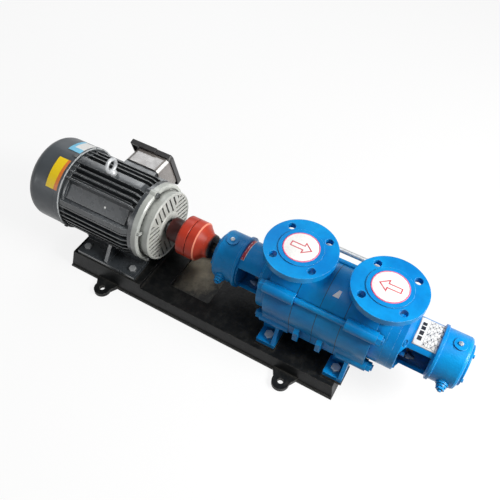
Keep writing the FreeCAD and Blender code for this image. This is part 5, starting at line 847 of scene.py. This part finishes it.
def dome_tree():
    """A flattened ball, half sunk, for rivet heads."""
    tree, given, result = new_tree("domes", {"Radius": 0.002, "Flatness": (1.0, 1.0, 0.5)})
    ball = step(tree, "MeshUVSphere",
                {"Segments": 16, "Rings": 10, "Radius": given.outputs["Radius"]})
    flat = step(tree, "Transform", {"Geometry": ball.outputs["Mesh"],
                                    "Scale": given.outputs["Flatness"]})
    return copy_to_points(tree, given, result, flat.outputs["Geometry"])


def bar_tree():
    """A small flat bar, for the printed lines and blocks of a plate."""
    tree, given, result = new_tree("bars", {"Size": (0.004, 0.001, 0.0001)})
    bar = step(tree, "MeshCube", {"Size": given.outputs["Size"]})
    return copy_to_points(tree, given, result, bar.outputs["Mesh"])


hoops, domes, bars = hoop_tree(), dome_tree(), bar_tree()
print("trees:", [t.name for t in bpy.data.node_groups])

# %% [markdown]
# ## Growing a tree
#
# A tree runs as a modifier on a mesh of bare points. Its inputs are set by the socket's
# identifier before the object is first evaluated. The evaluated result is kept as a plain mesh
# and the modifier goes, so what rides on the set is ordinary geometry.

# %% Growing a tree
def grow(name, tree, places, turns, material, sizes, smooth=False):
    """Runs a tree on places and turns, and keeps the result as a plain mesh on the set."""
    made = mesh_object(name, places, [])
    turn = made.data.attributes.new("turn", "FLOAT_VECTOR", "POINT")
    turn.data.foreach_set("vector", [v for t in turns for v in t])
    nodes = made.modifiers.new("nodes", "NODES")
    nodes.node_group = tree
    values = dict(sizes, Material=material)
    for socket in tree.interface.items_tree:
        if socket.in_out == "INPUT" and socket.name in values:
            nodes[socket.identifier] = values[socket.name]
    graph = bpy.context.evaluated_depsgraph_get()
    grown = bpy.data.meshes.new_from_object(made.evaluated_get(graph))
    made.modifiers.remove(nodes)
    made.data = grown
    grown.polygons.foreach_set("use_smooth", [smooth] * len(grown.polygons))
    face_outward(made)
    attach(made, "standing")
    return made


def outward_turn(angle):
    """The turn that stands a shape square on a round part at an angle."""
    return (math.radians(90 - angle), 0.0, 0.0)


def grow_around(name, tree, x, angles, radius, colour, sizes, smooth=False):
    """Copies of a shape that stand square on a circle about the shaft, at several angles."""
    return grow(name, tree, [around(x, radius, a) for a in angles],
                [outward_turn(a) for a in angles], ink[colour], sizes, smooth)


print("ready to grow")

# %% [markdown]
# ## Washers
#
# Under each foot bolt lies a plain washer, wider than the head. The washers were painted over
# with the castings, and the heads were wiped or turned since, so they stay bright.

# %% Washers
MOTOR_BOLT_X, MOTOR_BOLT_Y, MOTOR_SEAT = (-0.334, -0.194), 0.095, 0.065
PUMP_BOLT_X, PUMP_BOLT_Y, PUMP_SEAT = (0.1875, 0.357), 0.085, 0.058
WASHER = 0.0016
LEVEL = (0.0, 0.0, 0.0)


def foot_washers(name, bolt_x, bolt_y, seat, radius, width, slot):
    """Four washers that lie on the feet, under the bolt heads."""
    places = [(x, y, seat + WASHER / 2) for x in bolt_x for y in (-bolt_y, bolt_y)]
    sizes = {"Radius": radius, "Width": width, "Height": WASHER}
    return grow(name, hoops, places, [LEVEL] * len(places), finish[slot], sizes)


washers = [
    foot_washers("motor_washers", MOTOR_BOLT_X, MOTOR_BOLT_Y, MOTOR_SEAT, 0.0086, 0.0036,
                 "motor_black"),
    foot_washers("pump_washers", PUMP_BOLT_X, PUMP_BOLT_Y, PUMP_SEAT, 0.0104, 0.0042,
                 "blue_steel"),
]
print("washers:", [w.name for w in washers])

# %% [markdown]
# ## Thread crests
#
# The tie rods end a few millimetres past their nuts, and three crests on each stub are enough to
# read as a thread. A crest is the same hoop as a washer, only thinner, and stands across the rod.

# %% Thread crests
ROD_Y, ROD_RISE = 0.072, 0.056
CRESTS, FIRST_CREST, CREST_STEP = 3, 0.0008, 0.00125
ACROSS_THE_ROD = (0.0, math.pi / 2, 0.0)
rod_low, rod_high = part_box("tie_rods")
crests = []
for y in (-ROD_Y, ROD_Y):
    for z in (SHAFT_HEIGHT - ROD_RISE, SHAFT_HEIGHT + ROD_RISE):
        for k in range(CRESTS):
            crests.append((rod_low[0] + FIRST_CREST + CREST_STEP * k, y, z))
            crests.append((rod_high[0] - FIRST_CREST - CREST_STEP * k, y, z))
grow("rod_threads", hoops, crests, [ACROSS_THE_ROD] * len(crests), finish["blue_steel"],
     {"Radius": 0.0068, "Width": 0.0007, "Height": 0.0006})
print("crests:", len(crests))

# %% [markdown]
# ## Joints between the casings
#
# The ring sections meet at flat faces with a thin seal, and paint never quite closes the line.
# The seal's outline is the casting's own, so it isn't drawn again: a copy of the casing is cut by
# a plane, the longest loop of the cut is followed, and a narrow band is laid along it, a quarter
# of a millimetre proud.

# %% Outlines of castings
SAME_PLACE = 1e-6
SHORTEST_STEP = 1e-5


def outline_at(node, x):
    """The outer outline of a CAD node at one place along the shaft, as (y, z) points."""
    cut = bmesh.new()
    cut.from_mesh(frame["nodes"][node].data)
    bmesh.ops.remove_doubles(cut, verts=cut.verts, dist=SAME_PLACE)
    everything = cut.verts[:] + cut.edges[:] + cut.faces[:]
    bmesh.ops.bisect_plane(cut, geom=everything, dist=1e-7, plane_co=(x, 0, 0),
                           plane_no=(1, 0, 0), clear_inner=True, clear_outer=True)
    loops, left = [], set(cut.verts)
    while left:
        start = left.pop()
        loop, here = [start], start
        while True:
            ahead = [e.other_vert(here) for e in here.link_edges if e.other_vert(here) in left]
            if not ahead:
                break
            here = ahead[0]
            left.discard(here)
            loop.append(here)
        loops.append([(v.co.y, v.co.z) for v in loop])
    cut.free()
    widest = max(loops, key=lambda loop: max(y for y, z in loop) - min(y for y, z in loop))
    area = sum(a[0] * b[1] - b[0] * a[1] for a, b in zip(widest, widest[1:] + widest[:1]))
    return widest if area > 0 else widest[::-1]


print("ready to follow an outline")

# %% Joint lines
def joined_quads(sides):
    """Faces of a closed tube whose corners come four to a ring."""
    faces = []
    for i in range(sides):
        here, there = 4 * i, 4 * ((i + 1) % sides)
        for k in range(4):
            after = (k + 1) % 4
            faces.append((here + k, here + after, there + after, there + k))
    return faces


SEAL_WIDTH, SEAL_PROUD, SEAL_SUNK = 0.0010, 0.00022, 0.0004


def joint_line(name, node, cut_x, x):
    """A narrow dark band round a joint, along the casting's own outline."""
    points = [Vector(p) for p in outline_at(node, cut_x)]
    points = [p for i, p in enumerate(points) if (p - points[i - 1]).length > SHORTEST_STEP]
    verts = []
    for i, point in enumerate(points):
        along = (points[(i + 1) % len(points)] - points[i - 1]).normalized()
        out = Vector((along.y, -along.x))
        low, high = point - out * SEAL_SUNK, point + out * SEAL_PROUD
        for at, side in ((low, -1), (high, -1), (high, 1), (low, 1)):
            verts.append((x + side * SEAL_WIDTH / 2, at.x, at.y))
    made = face_outward(mesh_object(name, verts, joined_quads(len(points)), ink["seal"]))
    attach(made, "standing")
    return made


# Each seal's casing, where it is cut for its outline, and where the joint is.
SEALS = {"seal_1": ("stage_casing_1", 0.2312, 0.230), "seal_2": ("stage_casing_1", 0.2838, 0.285),
         "seal_3": ("stage_casing_2", 0.3388, 0.340)}
seals = [joint_line(name, *seal) for name, seal in SEALS.items()]
print("joint lines:", [len(o.data.vertices) // 4 for o in seals], "points each")

# %% [markdown]
# ## Turned and flat pieces for the ports
#
# Both ports are closed for transport by round white cards with a coloured rim. On each is a plain
# arrow in outline. The card is turned and slightly domed, and the rim and the arrow are thin
# layers on top of it.

# %% Turned and flat pieces
ROUND_STEPS = 72
SHARPEST_MITRE = 0.45


def turned_piece(name, profile, centre, material):
    """A solid turned about a vertical axis from (radius, height) points.

    A profile that never meets the axis makes a ring.
    """
    verts, faces, rings = [], [], []
    for radius, height in profile:
        if radius == 0:
            rings.append([len(verts)])
            verts.append((centre[0], centre[1], height))
            continue
        rings.append(list(range(len(verts), len(verts) + ROUND_STEPS)))
        for k in range(ROUND_STEPS):
            turn = 2 * math.pi * k / ROUND_STEPS
            verts.append((centre[0] + radius * math.cos(turn), centre[1] + radius * math.sin(turn),
                          height))
    closed = profile[0][0] != 0
    pairs = list(zip(rings, rings[1:])) + ([(rings[-1], rings[0])] if closed else [])
    for inner, outer in pairs:
        for k in range(ROUND_STEPS):
            after = (k + 1) % ROUND_STEPS
            corners = [inner[k % len(inner)], inner[after % len(inner)],
                       outer[after % len(outer)], outer[k % len(outer)]]
            faces.append(tuple(dict.fromkeys(corners)))
    made = face_outward(mesh_object(name, verts, faces, material, smooth=True))
    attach(made, "standing")
    return made


def outlined_shape(name, points, wide, low, high, material):
    """A closed line of some width, such as an arrow in outline, flat between two heights."""
    points = [Vector(p) for p in points]
    verts = []
    for i, point in enumerate(points):
        before = (point - points[i - 1]).normalized()
        after = (points[(i + 1) % len(points)] - point).normalized()
        mitre = Vector((before.y + after.y, -before.x - after.x)).normalized()
        reach = wide / 2 / max(SHARPEST_MITRE, mitre.dot(Vector((before.y, -before.x))))
        for side, height in ((-1, low), (1, low), (1, high), (-1, high)):
            at = point + mitre * reach * side
            verts.append((at.x, at.y, height))
    made = face_outward(mesh_object(name, verts, joined_quads(len(points)), material))
    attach(made, "standing")
    return made


def flow_arrow(centre, length, width, way):
    """Corners of a plain arrow whose tip points along X, forwards or backwards."""
    tip, neck, half, shaft = length / 2, length / 2 - width * 0.62, width / 2, width * 0.2
    corners = [(tip, 0), (neck, half), (neck, shaft), (-tip, shaft), (-tip, -shaft),
               (neck, -shaft), (neck, -half)]
    return [(centre[0] + way * x, centre[1] + way * y) for x, y in corners]


print("ready to turn and to outline")

# %% [markdown]
# ## Cards on the ports
#
# The card lies on the raised face of the flange. All of its layers are given as heights over that
# face, so the whole cover moves when the face does. Both arrows point to the middle of the pump.

# %% Port covers
FLANGE_FACE = 0.302
COVER_R = 0.0395
RIM_WIDTH = 0.0024
ARROW_LENGTH, ARROW_WIDTH, ARROW_LINE = 0.046, 0.028, 0.0024
PORTS = {"suction": ((0.202, 0.0), 1), "discharge": ((0.399, 0.0), -1)}


def above_face(*points):
    """Turns (radius, height over the flange's face) into (radius, height)."""
    return [(radius, FLANGE_FACE + height) for radius, height in points]


card = above_face((0, 0), (COVER_R, 0), (COVER_R, 0.0004), (COVER_R - 0.0008, 0.0007), (0, 0.0009))
rim = above_face((COVER_R - RIM_WIDTH, 0.0006), (COVER_R + 0.0001, 0.0003),
                 (COVER_R + 0.0001, 0.0006), (COVER_R - RIM_WIDTH, 0.0009))
for port, (centre, way) in PORTS.items():
    turned_piece(port + "_cover", card, centre, ink["white"])
    turned_piece(port + "_cover_rim", rim, centre, ink["pink"])
    outlined_shape(port + "_cover_arrow", flow_arrow(centre, ARROW_LENGTH, ARROW_WIDTH, way),
                   ARROW_LINE, FLANGE_FACE + 0.0007, FLANGE_FACE + 0.0010, ink["crimson"])
print("covers on both ports")

# %% [markdown]
# ## Labels on the cowl
#
# Two stickers sit on the fan cowl beside its top screw: a yellow one with an orange edge, and a
# white one with a sky blue edge. They are thin wrapped sheets, and the coloured edges are
# narrower sheets on top.

# %% Cowl labels
COWL_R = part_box("fan_cover")[1][1] + 0.00005
LABEL = 0.00018
EDGE_R = COWL_R + LABEL
wrapped_sheet("yellow_label", (-0.4325, -0.3990), 36, 79, COWL_R, LABEL, ink["yellow"])
wrapped_sheet("yellow_label_edge", (-0.4090, -0.3989), 35.9, 79.1, EDGE_R, LABEL, ink["orange"],
              end_span=(-0.4060, -0.3989))
wrapped_sheet("white_label", (-0.4335, -0.3970), 95, 128, COWL_R, LABEL, ink["white"])
wrapped_sheet("white_label_edge", (-0.4336, -0.3969), 94.9, 103, EDGE_R, LABEL, ink["sky"])
wrapped_sheet("white_label_side", (-0.4336, -0.4240), 103, 128.1, EDGE_R, LABEL, ink["sky"],
              end_span=(-0.4336, -0.4260))
print("cowl radius", round(COWL_R, 4))

# %% [markdown]
# ## Rotation plate
#
# The bridge of each bearing bracket carries a metal plate that is bent to it and riveted. The one
# by the drive end is red, with a pale rim and an arrow that shows the way of rotation. It is
# built in layers: the metal, the coloured field, and the arrow as two thin strips.

# %% Rotation plate
BRIDGE_R = 0.0565
PLATE = 0.0005
FIELD = 0.00015
LINE = 0.0001
FIELD_R = BRIDGE_R + PLATE
LINE_R = FIELD_R + FIELD
wrapped_sheet("rotation_plate", (0.0724, 0.0840), 57, 128, BRIDGE_R, PLATE, ink["silver"])
wrapped_sheet("rotation_plate_field", (0.0734, 0.0830), 58.0, 127.0, FIELD_R, FIELD, ink["red"])
wrapped_sheet("rotation_arrow_shaft", (0.0780, 0.0785), 76, 106, LINE_R, LINE, ink["silver"])
wrapped_sheet("rotation_arrow_tip", (0.0768, 0.0797), 106, 112, LINE_R, LINE, ink["silver"],
              end_span=(0.0782, 0.0783))
grow_around("rotation_rivets", domes, 0.0782, (61.5, 123.5), LINE_R, "silver",
            {"Radius": 0.0014}, smooth=True)
print("rotation plate on")

# %% [markdown]
# ## Rating plate
#
# The plate at the free end is pale, with a row of dark blocks for a header and a small ruled
# table below it.

# %% Rating plate
wrapped_sheet("rating_plate", (0.4795, 0.5333), 49.7, 126, BRIDGE_R, PLATE, ink["silver"])
wrapped_sheet("rating_plate_field", (0.4807, 0.5321), 51, 124.7, FIELD_R, FIELD, ink["white"])
heads = [66 + 12.0 * k for k in range(4)]
grow_around("plate_header", bars, 0.4895, heads, LINE_R + LINE / 2, "black",
            {"Size": (0.0090, 0.0092, LINE)})
corner_places = [(x, angle) for x in (0.4828, 0.5300) for angle in (52.6, 123.0)]
grow("rating_rivets", domes, [around(x, LINE_R, a) for x, a in corner_places],
     [outward_turn(a) for x, a in corner_places], ink["silver"], {"Radius": 0.0013}, smooth=True)
print("rating plate with", len(heads), "header blocks")

# %% [markdown]
# ## Rating table
#
# The table's lines along the shaft are bars on points. The ones round the shaft have to bend, so
# they are wrapped strips. A simple rule fills some of the cells with a block and leaves others
# empty, so the table looks filled in by hand.

# %% Rating table
RULE = 0.0005
TABLE_X, COLUMN, COLUMNS = 0.4990, 0.0052, 6
TABLE_LENGTH = COLUMN * COLUMNS + RULE
LOW_ANGLE, HIGH_ANGLE, ROWS = 54, 121, 9
ENTRY_IN_X, ENTRY_IN_ANGLE = 0.0028, 3.7
for k in range(COLUMNS + 1):
    x = TABLE_X + COLUMN * k
    wrapped_sheet("table_round_%d" % k, (x, x + RULE), LOW_ANGLE, HIGH_ANGLE, LINE_R, LINE,
                  ink["navy"], columns=1)
row_angles = [LOW_ANGLE + (HIGH_ANGLE - LOW_ANGLE) * k / ROWS for k in range(ROWS + 1)]
grow_around("table_cross", bars, TABLE_X + TABLE_LENGTH / 2, row_angles, LINE_R + LINE / 2,
            "navy", {"Size": (TABLE_LENGTH, RULE, LINE)})
entries, entry_turns = [], []
for column in range(COLUMNS):
    for row in range(ROWS):
        if (column * 5 + row * 3) % 7 < 3:
            x = TABLE_X + COLUMN * column + ENTRY_IN_X
            angle = row_angles[row] + ENTRY_IN_ANGLE
            entries.append(around(x, LINE_R + LINE / 2, angle))
            entry_turns.append(outward_turn(angle))
grow("table_entries", bars, entries, entry_turns, ink["navy"], {"Size": (0.0022, 0.0042, LINE)})
print("table with", len(entries), "entries")

# %% [markdown]
# ## Small bright pieces
#
# A drive rivet shines on the flat of the motor frame, and a torn bit of foil tape sticks to the
# second stage casing. They are tiny, but the eye finds them first.

# %% Rivet and foil
FLAT_RIVET_R = 0.0908
FOIL_R = 0.0881
grow_around("flat_rivet", domes, -0.2698, (40.6,), FLAT_RIVET_R, "white", {"Radius": 0.0028},
            smooth=True)
wrapped_sheet("foil_tape", (0.2984, 0.3126), 64.3, 75.2, FOIL_R, 0.0002, ink["white"],
              end_span=(0.3070, 0.3131), rows=8)
print("small pieces placed")

# %% [markdown]
# ## The end
#
# The set is lit, painted and dressed.

# %% Finish
print("set dressed")
